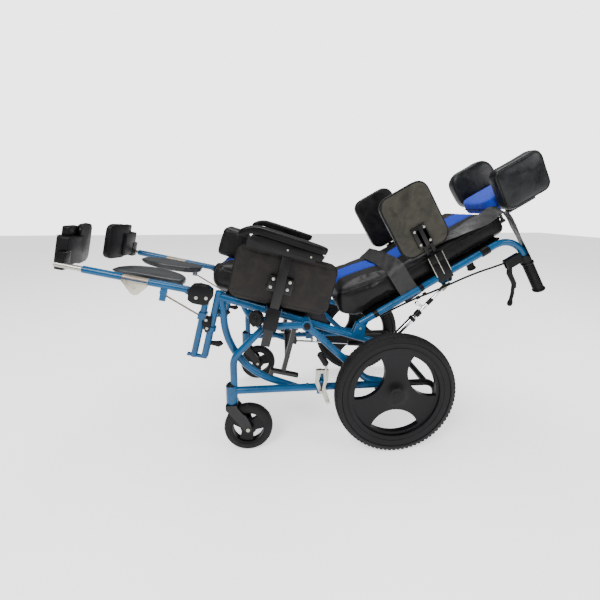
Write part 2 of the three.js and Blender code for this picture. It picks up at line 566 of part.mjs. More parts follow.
function casterFork(s) {
  const c = caster;
  const y = s * base.planeY;
  const top = c.housingBottom - fit;
  const under = top - c.crownThick;
  const parts = [
    block(c.swivelX - c.housingRadius, c.swivelX + c.housingRadius, y - c.legGap - c.legThick,
      y + c.legGap + c.legThick, under, top),
    bar(point(c.swivelX, y, under), point(c.swivelX, y, top + c.stemRise), c.stemRadius),
    pinY(c.axleX, c.radius, y - c.legGap - c.legThick, y + c.legGap + c.legThick, c.pinRadius),
  ];
  for (const side of [-1, 1]) {
    parts.push(plate([[c.swivelX - c.housingRadius, top], [c.swivelX - c.housingRadius,
      under - c.crownThick],
      [c.axleX - c.legWidth, c.radius], [c.axleX, c.radius - c.legWidth], [c.axleX + c.legWidth, c.radius],
      [c.axleX + c.legWidth / 2, c.radius + 2 * c.legWidth], [c.swivelX + c.housingRadius, under],
      [c.swivelX + c.housingRadius, top]], y + side * c.legGap, y + side * (c.legGap + c.legThick)));
  }
  return joined(parts);
}

// Seat: side frames with the long curved tube, pan with its braces, cushion, pommel
function seatFrame(s) {
  const y = s * seat.planeY;
  const t = seat;
  const arcPoints = [point(t.arcTopX, y, t.arcTopZ)];
  const arcSteps = 7;
  for (let k = 0; k <= arcSteps; k += 1) {
    const angle = rad(t.arcFromDeg + ((t.arcToDeg - t.arcFromDeg) * k) / arcSteps);
    arcPoints.push(point(t.arcX + t.arcRadius * Math.cos(angle), y,
      t.arcZ + t.arcRadius * Math.sin(angle)));
  }
  const last = rad(t.arcToDeg);
  const end = arcPoints[arcPoints.length - 1];
  arcPoints.push(point(end.x - t.arcTail * Math.sin(last), y, end.z + t.arcTail * Math.cos(last)));
  const arcRoute = new BentRoute([arcPoints[0], arcPoints[1]], [], 1);
  arcRoute.stations = arcPoints;
  const arc = toSolid(new THREE.ExtrudeGeometry(ringShape(tubeRadius, sides), {
    steps: arcRoute.steps, extrudePath: arcRoute, bevelEnabled: false,
  }));
  const r = recline;
  const railAt = railZ(r.x);
  const pieces = [
    bar(point(t.front, y, railZ(t.front)), point(t.rear, y, railZ(t.rear)), tubeRadius),
    bar(point(t.front, y, t.postBottom), point(t.front, y, t.postTop), tubeRadius),
    arc,
    pinY(0, 0, s * t.bossIn, s * t.bossOut, t.bossRadius, 10),
    pinY(r.x, r.z, y - tubeRadius, y + tubeRadius, r.pinRadius),
  ];
  for (const side of [-1, 1]) {
    pieces.push(plate([[r.x - r.bracketHalf, railAt], [r.x + r.bracketHalf, railAt],
      [r.x + r.lugRadius, r.bracketTop], [r.x - r.lugRadius, r.bracketTop]],
    y + side * tubeRadius, y + side * (tubeRadius - r.cheekThick)));
  }
  const a = armrest;
  const sleeveIn = a.planeY - a.postHalfThick - a.sleeveWall;
  const sleeveOut = a.planeY + a.postHalfThick + a.sleeveWall;
  const wide = a.postHalfWidth + a.sleeveWall + a.sleeveWall;
  pieces.push(block(a.x - a.bracketHalf, a.x + a.bracketHalf, y, s * (sleeveIn + a.sleeveWall / 2),
    a.bracketBottom, a.sleeveTop));
  pieces.push(block(a.x - wide, a.x + wide, s * sleeveIn, s * sleeveOut, a.sleeveBottom, a.sleeveTop));
  pieces.push(bar(point(a.x - a.bracketHalf + a.knobNeck, s * a.planeY, 0),
    point(a.x - wide - a.knobReach + a.knobThick, s * (a.planeY + a.knobThick), 0), a.knobNeck));
  pieces.push(bar(point(a.x - wide - a.knobReach + a.knobThick, s * (a.planeY + a.knobThick / 2), 0),
    point(a.x - wide - a.knobReach + a.knobThick / 3, s * (a.planeY + a.knobThick + a.knobNeck), 0),
    a.knobRadius, 10));
  const foot = point(strut.footX, 0, strut.footZ);
  pieces.push(plate([[t.rear - 2 * tubeRadius, railZ(t.rear)], [foot.x - strut.lugHalf,
    foot.z - strut.lugHalf],
    [foot.x + strut.lugHalf, foot.z - strut.lugHalf], [foot.x + strut.lugHalf, foot.z + strut.lugHalf / 2],
    [t.rear, railZ(t.rear) + tubeRadius / 2]], s * strut.lugIn, s * strut.lugOut));
  pieces.push(pinY(foot.x, foot.z, s * strut.lugIn, s * strut.eyeOut, strut.pinRadius, 8));
  const holeX = a.postHalfWidth + a.sleeveClear;
  const holeY = a.postHalfThick + a.sleeveClear;
  return cut(joined(pieces), [
    pinY(0, 0, s * (t.bossIn - overrun), s * (t.bossOut + overrun), pivot.bore, 10),
    block(a.x - holeX, a.x + holeX, s * a.planeY - holeY, s * a.planeY + holeY,
      a.sleeveBottom - overrun, a.sleeveTop + overrun),
    bar(point(t.front, y, t.postBottom - overrun), point(t.front, y, t.postBottom + t.postBoreDepth),
      t.postBore),
  ]);
}

function seatPan() {
  const p = pan;
  const b = brace;
  const turn = rad(seat.slopeDeg);
  const slopedPoint = (x, y, z) => point(x * Math.cos(turn) + z * Math.sin(turn), y,
    -x * Math.sin(turn) + z * Math.cos(turn));
  const boardEnds = [[p.front, p.bottom], [p.rear, p.bottom], [p.rear, p.top], [p.front, p.top]]
    .map(([x, z]) => slopedPoint(x, 0, z)).map((v) => [v.x, v.z]);
  const parts = [plate(boardEnds, -p.half, p.half)];
  for (const x of [p.crossFront, p.crossRear]) {
    parts.push(bar(slopedPoint(x, -p.crossHalf, 0), slopedPoint(x, p.crossHalf, 0), p.tubeRadius));
  }
  for (const [, s] of bothSides) {
    const y = s * seat.planeY;
    const underRail = railZ(b.x - b.half) - (tubeRadius + fit) / Math.cos(turn) - 2 * fit;
    parts.push(block(b.x - b.half, b.x + b.half, s * b.flangeIn, y + s * b.halfY, b.footBottom, underRail));
    parts.push(block(b.x - 2 * b.half, b.x + 2 * b.half, s * b.flangeIn, s * p.crossHalf,
      b.flangeBottom, b.flangeTop));
    parts.push(block(b.footFront, b.footRear, y - b.footHalf, y + b.footHalf, b.footBottom, b.footTop));
    const arcTop = seat.arcZ - Math.sqrt((seat.arcRadius - tubeRadius) ** 2 - (b.footFront - seat.arcX)
      ** 2);
    parts.push(block(b.footFront, b.footFront + 2 * b.half, y - b.halfY, y + b.halfY,
      arcTop + 4 * fit, b.footTop));
  }
  parts.push(bar(point(b.x, -seat.planeY, b.crossZ), point(b.x, seat.planeY, b.crossZ), p.tubeRadius));
  for (const [, s] of bothSides) {
    const gap = s * (tiltSpring.eyeHalf + fit);
    parts.push(plate([[b.x - p.tubeRadius, b.crossZ + p.tubeRadius], [b.x - p.tubeRadius,
      b.crossZ - p.tubeRadius],
      [b.lugX - b.seatLug, b.lugZ - b.seatLug], [b.lugX + b.seatLug, b.lugZ - b.seatLug],
      [b.lugX + b.seatLug, b.lugZ + b.seatLug], [b.x + p.tubeRadius, b.crossZ + p.tubeRadius]],
    gap, gap + s * b.lugHalf));
  }
  parts.push(pinY(b.lugX, b.lugZ, -tiltSpring.eyeHalf - b.lugHalf, tiltSpring.eyeHalf + b.lugHalf,
    tiltSpring.pinRadius, 8));
  return joined(parts);
}

function seatCushion() {
  const c = cushion;
  return softBlock(c.front, c.rear, -c.half, c.half, c.bottom, c.bottom + c.thick, c.round, [5, 6, 1],
    (p, u) => {
    if (u.z > 0.2) p.z += c.crown * dome(u.x, u.y) - c.channel * groove(p.y, c.stripeHalf, 2 * c.channel);
    if (Math.abs(u.x) < 0.95) p.y -= Math.sign(u.y) * c.pullIn * (1 - u.x * u.x) * u.y * u.y * (u.z > 0
      ? 1 : 0);
    const nose = Math.max(0, (-u.x - c.flatShare) / (1 - c.flatShare));
    if (u.z < 0) p.x += nose * c.tuck * u.z * u.z;
    if (u.z > 0) p.z -= nose * nose * c.dip;
  });
}

function pommelPad() {
  const c = pommel;
  const bottom = cushion.bottom + cushion.thick + c.lift;
  const clear = cushion.crown * c.seatShare;
  return softBlock(c.front, c.rear, -c.half, c.half, bottom + clear, bottom + clear + c.height,
    c.round, [1, 1, 1],
    (p, u) => {
      p.y += Math.sign(u.y) * c.crown * dome(u.x, u.z) * Math.abs(u.y);
    }, 1);
}

// Armrests
function armrestPost(s) {
  const a = armrest;
  const y = s * a.planeY;
  const panelOut = panel.inY + panel.thick;
  const turn = rad(seat.slopeDeg);
  const padUnder = (x) => (armPad.bottom - fit - fit) / Math.cos(turn) - x * Math.tan(turn);
  const parts = [
    block(a.x - a.postHalfWidth, a.x + a.postHalfWidth, y - a.postHalfThick, y + a.postHalfThick,
      a.bottom, a.top),
    block(a.plateFront, a.plateRear, s * (panelOut + fit), y, a.plateBottom, a.plateTop),
    plate([[a.barFront, a.barBottom], [a.barRear, a.barBottom], [a.barRear, padUnder(a.barRear)],
      [a.barStep, padUnder(a.barStep)], [a.barFront, padUnder(a.barFront) - a.barDrop]],
        y - a.barHalf - a.barHalf, y + a.barHalf),
  ];
  return joined(parts);
}

function sidePanel(s) {
  const p = panel;
  const outline = roundedOutline(p.front, p.rear, p.bottom, p.top, [p.corner, p.corner, p.shoulder,
    p.corner]);
  const layers = [plate(outline, s * (p.inY + p.round / 2), s * (p.inY + p.thick - p.round / 2), 4)];
  const inset = roundedOutline(p.front + p.round, p.rear - p.round, p.bottom + p.round, p.top - p.round,
    [p.corner, p.corner, p.shoulder, p.corner]);
  layers.push(plate(inset, s * p.inY, s * (p.inY + p.thick), 4));
  return joined(layers);
}

function armrestPad(s) {
  const a = armPad;
  const length = a.rear - a.front;
  return softBlock(a.front, a.rear, s * a.inY, s * a.outY, a.bottom, a.bottom + a.thick, a.round, [5, 1, 1],
    (p) => {
      const nose = Math.max(0, (a.noseLength - (p.x + length / 2)) / a.noseLength);
      p.z -= a.noseDrop * nose * nose;
    }, 1);
}

// Legrests: the hanger hooks on the front post, the legrest lifts at the knuckle
function legHanger() {
  const h = hanger;
  const postX = seat.front;
  const plateTop = seat.postBottom - fit;
  const parts = [
    bar(point(h.x, 0, plateTop - h.plateThick), point(h.x, 0, h.top), h.radius),
    block(h.plateFront, postX + h.plateThick, -h.radius / 2, h.radius / 2, plateTop - h.plateThick,
      plateTop),
    bar(point(postX, 0, plateTop - h.plateThick), point(postX, 0, plateTop + h.pinRise), h.pinRadius, 8),
    bar(point(postX, 0, h.collarTop - h.collarHigh), point(postX, 0, h.collarTop), h.collarOuter, 10),
    block(h.x, postX - h.collarBore, -h.radius / 2, h.radius / 2, h.collarTop - h.collarHigh, h.collarTop),
    block(h.x - h.blockHalf, h.x + h.blockHalf, -h.blockHalf, h.blockHalf, h.blockBottom, h.blockTop),
    pinY(h.pivotX, h.pivotZ, -h.cheekOut, h.cheekOut, h.pinBody),
  ];
  const outline = knuckleShares.map(([x, z]) => [h.pivotX + x * h.knuckle, h.pivotZ + z * h.knuckle]);
  for (const side of [-1, 1]) parts.push(plate(outline, side * h.cheekIn, side * h.cheekOut));
  parts.push(block(h.x - h.radius / 2, h.x + h.radius, -h.cheekIn - fit, h.cheekIn + fit,
    h.top - h.radius, h.pivotZ));
  return cut(joined(parts), [
    bar(point(postX, 0, h.collarTop - h.collarHigh - overrun), point(postX, 0, h.collarTop + overrun),
      h.collarBore, 10),
  ]);
}

const legPoint = (along, y, lift) => point(-along, y, lift);

function legrestTube(s) {
  const g = legrest;
  const z = g.lift;
  const run = (from, to, radius) => bar(legPoint(from, 0, z), legPoint(to, 0, z), radius);
  const parts = [
    run(g.start, g.midFrom, tubeRadius), run(g.midFrom, g.midTo, g.midRadius), run(g.midTo, g.end,
      tubeRadius),
    pinY(0, 0, -g.eyeHalf, g.eyeHalf, g.eyeRadius, 10),
    plate([[0, g.skin - g.eyeRadius], [-g.start - tubeRadius, z + g.skin - tubeRadius],
      [-g.start - tubeRadius, z + tubeRadius - g.skin], [-g.start, z + tubeRadius - g.skin],
      [0, g.eyeRadius - g.skin]],
    -g.eyeHalf, g.eyeHalf),
    plate([[-g.plateFrom, z], [-g.plateTo, z], [-g.plateTip - g.plateThick, z - g.plateDepth],
      [-g.plateTip + g.plateThick + g.lugHalf, z - g.plateDepth]],
    s * (g.midRadius - g.plateThick / 2), s * (g.midRadius + g.plateThick / 2)),
    block(-g.lugAt - g.lugHalf, -g.lugAt + g.lugHalf, -g.lugThick / 2, g.lugThick / 2,
      z - g.lugDepth - g.lugHalf, z),
    pinY(-g.lugAt, -g.lugPin, 0, -s * (rod.inset + rod.eyeHalf), rod.pinRadius, 8),
    block(-g.armTo, -g.armFrom, -s * (seat.planeY - g.armIn), 0, calf.low - fit - g.armThick,
      calf.low - fit),
    block(-g.armTo, -g.armFrom, -s * tubeRadius, s * (tubeRadius / 2), calf.low - fit - g.armThick, z),
  ];
  return cut(joined(parts), [
    pinY(0, 0, -overrun, overrun, g.bore),
    bar(legPoint(g.boreFrom, 0, z), legPoint(g.end + overrun, 0, z), g.innerBore),
  ]);
}

function legrestRod(s) {
  const y = -s * rod.inset;
  const parts = [
    pinY(0, 0, y - rod.eyeHalf, y + rod.eyeHalf, rod.eyeRadius),
    bar(point(0, y, 0), point(rod.length, y, 0), rod.radius, 8),
  ];
  return cut(joined(parts), [pinY(0, 0, y - overrun, y + overrun, rod.bore, 8)]);
}

function calfPad(s) {
  const c = calf;
  return softBlock(-c.to, -c.from, -s * (seat.planeY - c.inY), -s * (seat.planeY - c.outY), c.low,
    c.high, c.round,
    [3, 2, 1], (p, u) => {
      if (u.z > 0) p.z -= c.hollow * (1 - u.y * u.y) * (1 - u.x * u.x);
      p.y *= 1 - (c.taper / (c.outY - c.inY)) * u.x * u.x;
    }, 1);
}

function footTube(s, shorten) {
  const f = foot;
  const z = legrest.lift;
  const cheek = f.blockHalf;
  const hingeY = -s * (seat.planeY - f.hingeY);
  const parts = [
    bar(legPoint(f.from - shorten, 0, z), legPoint(f.to - shorten, 0, z), f.radius),
    block(-(f.hingeAt - shorten) - cheek, -(f.hingeAt - shorten) + cheek, s * f.radius / 2,
      -s * (seat.planeY - f.blockIn), f.blockLow, f.blockFront),
    bar(point(-(f.hingeAt - shorten), hingeY, f.blockLow),
      point(-(f.hingeAt - shorten), hingeY, footplate.knuckleHigh + f.hingeRadius), f.hingeRadius, 8),
  ];
  return joined(parts);
}

// The footplate turns about a pin that runs along its own width from toe to heel
function footPlate(s, shorten) {
  const f = footplate;
  const x = -(foot.hingeAt - shorten);
  const toY = (v) => -s * (seat.planeY - v);
  const shape = roundedOutline(f.inY, f.outY, f.low, f.high, [f.corner, f.corner / 2, f.corner / 2,
    f.corner]);
  const slab = new THREE.ExtrudeGeometry(shape, {
    depth: f.thick - 2 * f.round, bevelEnabled: true, bevelThickness: f.round, bevelSize: f.round,
    bevelOffset: -f.round, bevelSegments: 1, curveSegments: 3,
  });
  slab.translate(0, 0, f.round - f.thick / 2);
  slab.applyMatrix4(new THREE.Matrix4().makeBasis(point(0, s, 0), point(0, 0, 1), point(s, 0, 0)));
  slab.translate(x, -s * seat.planeY, 0);
  const pad = toSolid(slab);
  const under = x - f.thick / 2;
  const parts = [
    pad,
    block(under - f.boxThick, under + f.round / 2, toY(f.boxIn), toY(f.boxOut), f.boxLow, f.boxHigh),
    block(under - f.boxThick, under + f.round / 2, toY(f.capIn), toY(f.capOut), f.capLow - f.round,
      f.capHigh),
    block(under, x + f.thick / 2, toY(f.outY - 2 * f.round), toY(f.boxOut), f.knuckleLow, f.knuckleHigh),
  ];
  const clear = foot.blockHalf + f.blockClear;
  return cut(joined(parts), [
    bar(point(x, toY(foot.hingeY), -overrun), point(x, toY(foot.hingeY), f.knuckleHigh + overrun),
      foot.hingeBore, 8),
    block(x - clear, x + clear, toY(foot.blockIn - f.blockReach), toY(seat.planeY), -overrun,
      foot.blockFront + 1),
  ]);
}

// Back: tubes with push handles, sling panel, cushions, side supports, headrest
function backTube(s) {
  const b = back;
  const y = s * seat.planeY;
  const run = tube([point(b.tubeX, y, b.foot), point(b.tubeX, y, b.crest), point(b.handleEnd, y, b.crest)],
    [b.bend], tubeRadius, 5);
  const parts = [
    run,
    plate([[b.tubeX - tubeRadius / 2, b.foot], [-recline.lugRadius * 0.8, -recline.lugRadius * 0.3],
      [recline.lugRadius * 0.8, -recline.lugRadius * 0.3], [recline.lugRadius * 0.6, recline.lugRadius],
      [b.tubeX + tubeRadius / 2, b.lugHigh], [b.tubeX - tubeRadius / 2, b.lugHigh]],
    y - recline.lugHalf, y + recline.lugHalf),
    pinY(0, 0, y - recline.lugHalf, y + recline.lugHalf, recline.lugRadius - fit),
    bar(point(b.tubeX, y, b.sleeveFrom), point(b.tubeX, y, b.sleeveTo), b.sleeveRadius),
    plate([[b.tubeX, strut.topZ - 2 * strut.lugHalf], [strut.topDrop + strut.lugHalf,
      strut.topZ - strut.lugHalf],
      [strut.topDrop + strut.lugHalf, strut.topZ + strut.lugHalf], [b.tubeX,
        strut.topZ + 2 * strut.lugHalf]],
    s * strut.lugIn, s * strut.lugOut),
    block(b.clampFront, b.tubeX, s * b.clampIn, s * b.clampOut, b.clampLow, b.clampHigh),
  ];
  const legClear = recline.cheekThick + fit;
  return cut(joined(parts), [
    pinY(0, 0, y - overrun, y + overrun, recline.bore),
    block(-overrun, overrun, y + tubeRadius - legClear, y + tubeRadius + overrun, -overrun, b.reliefHigh),
    block(-overrun, overrun, y - tubeRadius - overrun, y - tubeRadius + legClear, -overrun, b.reliefHigh),
  ]);
}

function backPanel() {
  const b = back;
  const half = b.crossHalf;
  const parts = [block(b.panelFront, b.panelRear, -pan.half, pan.half, b.panelBottom, b.panelTop)];
  for (const z of [b.crossLow, b.crossHigh]) {
    parts.push(bar(point(b.crossX, -half, z), point(b.crossX, half, z), b.crossRadius));
  }
  const p = headPost;
  parts.push(block(b.panelRear - fit, p.x + p.clampHalf, -p.clampHalf, p.clampHalf, p.clampLow,
    p.clampHigh));
  return cut(joined(parts), [
    bar(point(p.x, 0, p.clampLow - overrun), point(p.x, 0, p.clampHigh + overrun), p.clampBore),
  ]);
}

function lowerBackCushion() {
  const c = backCushion;
  return softBlock(c.lowerFront, c.back, -c.half, c.half, c.lowerBottom, c.lowerTop, c.round, [3, 6,
    2], (p, u) => {
    const up = (u.z + 1) / 2;
    const forward = (1 - u.x) / 2;
    const rise = forward < c.tailShare ? c.lowerBackRise * (1 - forward / c.tailShare)
      : (c.lowerFrontRise * (forward - c.tailShare)) / (1 - c.tailShare);
    p.x += forward * up * (c.lowerFrontTop - c.lowerFront);
    if (u.x < 0) p.x -= c.crown * dome(u.y, u.z) - c.channel * groove(p.y, c.stripeHalf, 2 * c.channel);
    p.z += rise * (1 - up);
  });
}

function upperBackCushion() {
  const c = backCushion;
  return softBlock(c.upperFront, c.back, -c.half, c.half, c.upperBottom, c.upperTop, c.round, [1, 6,
    4], (p, u) => {
    if (u.x < 0) p.x -= c.crown * dome(u.y, u.z) - c.channel * groove(p.y, c.stripeHalf, 2 * c.channel);
    if (Math.abs(u.z) < 0.95) p.y -= Math.sign(u.y) * c.pullIn * (1 - u.z * u.z) * u.y * u.y * (u.x < 0
      ? 1 : 0);
  });
}

function lateralSupport(s) {
  const l = lateral;
  const outline = roundedOutline(l.far, l.near, l.low, l.high, [l.corner, l.corner, l.corner, l.corner]);
  const inset = roundedOutline(l.far + l.round, l.near - l.round, l.low + l.round, l.high - l.round,
    [l.corner, l.corner, l.corner, l.corner]);
  const parts = [
    plate(outline, s * (l.inY + l.round / 2), s * (l.inY + l.thick - l.round / 2), 3),
    plate(inset, s * l.inY, s * (l.inY + l.thick), 3),
    block(l.barFar, l.barNear, s * l.barIn, s * l.barOut, l.barLow, l.barHigh),
    block(l.barFar - l.round, l.plateNear, s * (l.inY + l.thick - fit), s * l.barOut, l.plateLow,
      l.plateHigh),
  ];
  return cut(joined(parts), [
    block(l.slotFar, l.slotNear, s * (l.barIn - overrun / 6), s * (l.barOut + overrun), l.slotLow,
      l.slotHigh),
  ]);
}

function handleGrip(s) {
  const g = grip;
  const y = s * seat.planeY;
  const z = back.crest;
  const parts = [
    bar(point(g.collarFrom, y, z), point(g.to, y, z), g.radius),
    bar(point(g.from, y, z), point(g.from + g.flangeThick, y, z), g.flange, 10),
    bar(point(g.to - g.flangeThick, y, z), point(g.to, y, z), g.flange, 10),
    block(g.housingIn, g.housingOut, y - g.housingHalf, y + g.housingHalf, g.housingLow,
      z - g.bore - 2 * g.play),
  ];
  const shell = cut(joined(parts), [
    bar(point(g.collarFrom - overrun, y, z), point(g.to - g.endWall, y, z), g.bore),
    block(g.pivotX - lever.eyeRadius - g.play, g.housingOut + g.play, y - g.slotHalf, y + g.slotHalf,
      g.housingLow - g.play, g.pivotZ + lever.eyeRadius + 2 * g.play),
  ]);
  return shell.add(pinY(g.pivotX, g.pivotZ, y - g.housingHalf, y + g.housingHalf, g.pinRadius, 8));
}

function brakeLever(s) {
  const g = grip;
  const y = s * seat.planeY;
  const knots = leverKnots.map(([along, away]) => point(g.pivotX + away, y, g.pivotZ + along));
  const blade = tube([point(g.pivotX, y, g.pivotZ), ...knots], knots.slice(1).map(() => lever.bend),
    lever.radius, 2, 6);
  const eye = pinY(g.pivotX, g.pivotZ, y - lever.half, y + lever.half, lever.eyeRadius);
  return cut(blade.add(eye), [pinY(g.pivotX, g.pivotZ, y - overrun, y + overrun, lever.bore, 8)]);
}

function brakeCable(s) {
  const knots = cableRoute.map(([x, z, inward]) => point(x, s * (seat.planeY + inward), z));
  const route = new THREE.CatmullRomCurve3(knots, false, 'centripetal');
  return toSolid(new THREE.ExtrudeGeometry(ringShape(cable.radius, cable.sides), {
    steps: cable.steps, extrudePath: route, bevelEnabled: false,
  }));
}

function headrestPost() {
  const p = headPost;
  const reach = point(p.armTo, 0, p.high - p.radius);
  return joined([
    bar(point(p.x, 0, p.low), point(p.x, 0, p.high), p.radius),
    bar(point(p.x, 0, p.high - p.radius), reach, p.armRadius),
    bar(reach, point(headPad.rear + fit, 0, reach.z), p.discRadius, 10),
  ]);
}

function headrestPad() {
  const h = headPad;
  const body = softBlock(h.front, h.rear, -h.half, h.half, h.low, h.high, h.round, [1, 4, 1], (p, u) => {
    if (u.x < 0) p.x += h.hollow * (1 - u.y * u.y) - h.crown * (1 - u.z * u.z);
  }, 1);
  const w = wing;
  const leaves = bothSides.map(([, s]) => joined([
    block(h.rear - w.leafHalf, w.hingeX + w.leafHalf, s * w.leafIn, s * (w.hingeY - w.leafHalf),
      w.knuckleLow, w.knuckleHigh),
    bar(point(w.hingeX, s * w.hingeY, w.knuckleLow), point(w.hingeX, s * w.hingeY, w.knuckleHigh),
      w.knuckleRadius),
    bar(point(w.hingeX, s * w.hingeY, w.knuckleLow - w.knuckleTall),
      point(w.hingeX, s * w.hingeY, w.knuckleHigh + w.knuckleTall), w.hingeRadius, 8),
  ]));
  return joined([body, ...leaves]);
}

function headrestWing(s) {
  const w = wing;
  const near = w.near - w.hingeX;
  const far = w.far - w.hingeX;
  const inY = w.inY - w.hingeY;
  const body = softBlock(far, near, s * inY, s * (inY + w.thick), w.low, w.high, w.round, [1, 1, 1],
    (p, u) => {
    p.y += Math.sign(u.y) * w.crown * dome(u.x, u.z) * Math.abs(u.y);
  }, 1);
  const spans = [[w.knuckleLow - fit - w.knuckleTall, w.knuckleLow - fit],
    [w.knuckleHigh + fit, w.knuckleHigh + fit + w.knuckleTall]];
  const knuckles = spans.map(([low, high]) => joined([
    bar(point(0, 0, low), point(0, 0, high), w.knuckleRadius),
    block(near - w.hingeRadius, 0, -w.leafHalf, w.leafHalf, low, high),
  ]));
  return cut(joined([body, ...knuckles]), [
    bar(point(0, 0, spans[0][0] - overrun), point(0, 0, spans[1][1] + overrun), w.hingeBore, 8),
  ]);
}

// Gas springs: each body and rod lies along its own line between two pins
function springBody(g, eyeY0, eyeY1, y) {
  const tubeEnd = g.bodyLength;
  const parts = [
    pinY(0, 0, eyeY0, eyeY1, g.eyeRadius),
    bar(point(g.eyeRadius / 2, y, 0), point(g.neck + 1, y, 0), g.rodRadius, 8),
    bar(point(g.neck, y, 0), point(tubeEnd, y, 0), g.bodyRadius),
  ];
  return cut(joined(parts), [
    pinY(0, 0, eyeY0 - overrun, eyeY1 + overrun, g.bore, 8),
    bar(point(g.boreFrom, y, 0), point(tubeEnd + overrun, y, 0), g.rodBore, 8),
  ]);
}

function springRod(g, length, eyeY0, eyeY1, y) {
  return joined([
    pinY(length, 0, eyeY0, eyeY1, g.eyeRadius),
    bar(point(g.boreFrom + g.gland, y, 0), point(length, y, 0), g.rodRadius, 8),
  ]);
}

// Put the pieces on their groups
add(chair, 'tilt_shaft', tiltShaft(), blackSteel);
add(chair, 'anti_tip_frame', antiTipFrame(), blackSteel);
add(tilting, 'seat_pan', seatPan(), blackSteel);
add(sloped, 'seat_cushion', seatCushion(), leatherette);
add(sloped, 'pommel', pommelPad(), leatherette);
add(backGroup, 'back_panel', backPanel(), blackPlastic);
add(backGroup, 'back_cushion_lower', lowerBackCushion(), leatherette);
add(backGroup, 'back_cushion_upper', upperBackCushion(), leatherette);
add(backGroup, 'headrest_post', headrestPost(), blackSteel);
add(backGroup, 'headrest_pad', headrestPad(), blueFabric);

for (const [side, s] of bothSides) {
  add(chair, `base_frame_${side}`, baseFrame(s), paint);
  add(chair, `wheel_lock_${side}`, wheelLock(s), zinc);
  add(chair, `rear_rim_${side}`, rearRim(s), blackPlastic);
  add(chair, `rear_tyre_${side}`, rearTyre(s), rubber);
  add(chair, `caster_fork_${side}`, casterFork(s), blackSteel);
  add(chair, `caster_wheel_${side}`, casterWheel(s), blackPlastic);
  add(tilting, `seat_frame_${side}`, seatFrame(s), paint);
  add(tilting, `armrest_post_${side}`, armrestPost(s), blackSteel);
  add(tilting, `side_panel_${side}`, sidePanel(s), leatherette);
  add(sloped, `armrest_pad_${side}`, armrestPad(s), rubber);

  const hangerGroup = groupAt(tilting, 0, s * seat.planeY, 0);
  add(hangerGroup, `legrest_hanger_${side}`, legHanger(), paint);
  const legGroup = groupAt(hangerGroup, hanger.pivotX, 0, hanger.pivotZ, rad(legrest.slopeDeg));
  const shorten = s > 0 ? foot.shorten : 0;
  add(legGroup, `legrest_tube_${side}`, legrestTube(s), paint);
  add(legGroup, `calf_pad_${side}`, calfPad(s), leatherette);
  add(legGroup, `foot_tube_${side}`, footTube(s, shorten), zinc);
  add(legGroup, `footplate_${side}`, footPlate(s, shorten), blackPlastic);
  const rodGroup = groupAt(legGroup, -legrest.lugAt, 0, -legrest.lugPin, rad(21));
  add(rodGroup, `legrest_rod_${side}`, legrestRod(s), chrome);

  add(backGroup, `back_tube_${side}`, backTube(s), paint);
  add(backGroup, `lateral_support_${side}`, lateralSupport(s), leatherette);
  add(backGroup, `handle_grip_${side}`, handleGrip(s), rubber);
  add(backGroup, `brake_lever_${side}`, brakeLever(s), blackPlastic);
  add(backGroup, `brake_cable_${side}`, brakeCable(s), rubber);
  const wingGroup = groupAt(backGroup, wing.hingeX, s * wing.hingeY, 0, 0, rad(-s * wing.flareDeg));
  add(wingGroup, `headrest_wing_${side}`, headrestWing(s), leatherette);

  const foot3 = point(strut.footX, 0, strut.footZ);
  const turn = rad(recline.fromVerticalDeg);
  const top3 = point(recline.x + strut.topDrop * Math.cos(turn) + strut.topZ * Math.sin(turn), 0,
    recline.z - strut.topDrop * Math.sin(turn) + strut.topZ * Math.cos(turn));
  const run = top3.clone().sub(foot3);
  const strutGroup = groupAt(tilting, foot3.x, 0, foot3.z, -Math.atan2(run.z, run.x));
  const eyeIn = s * (strut.lugOut + fit);
  const eyeOut = s * strut.eyeOut;
  add(strutGroup, `recline_cylinder_${side}`, springBody(strut, eyeIn, eyeOut, s * seat.planeY), chrome);
  add(strutGroup, `recline_rod_${side}`, springRod(strut, run.length(), eyeIn, eyeOut, s * seat.planeY)
    .add(pinY(run.length(), 0, eyeOut - s * fit, s * strut.headOut, strut.headRadius, 6)), chrome);
}

const springFoot = point(antiTip.lugX, 0, antiTip.lugZ);
const tiltTurn = rad(tiltDeg);
const springTop = point(pivot.x + brace.lugX * Math.cos(tiltTurn) + brace.lugZ * Math.sin(tiltTurn), 0,
  pivot.z - brace.lugX * Math.sin(tiltTurn) + brace.lugZ * Math.cos(tiltTurn));
const springRun = springTop.clone().sub(springFoot);
const springGroup = groupAt(chair, springFoot.x, 0, springFoot.z, -Math.atan2(springRun.z, springRun.x));
add(springGroup, 'tilt_spring_body', springBody(tiltSpring, -tiltSpring.eyeHalf,
  tiltSpring.eyeHalf, 0), blackSteel);
add(springGroup, 'tilt_spring_rod', cut(springRod(tiltSpring, springRun.length(), -tiltSpring.eyeHalf,
  tiltSpring.eyeHalf, 0), [pinY(springRun.length(), 0, -overrun, overrun, tiltSpring.openBore, 8)]),
    chrome);

// Stand the finished chair over the middle of its footprint
chair.updateMatrixWorld(true);
const extent = new THREE.Box3().setFromObject(chair, true);
chair.position.x = -(extent.min.x + extent.max.x) / 2;
chair.updateMatrixWorld(true);

export default chair;
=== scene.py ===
import math

import bmesh
import bpy
from mathutils import Matrix, Vector


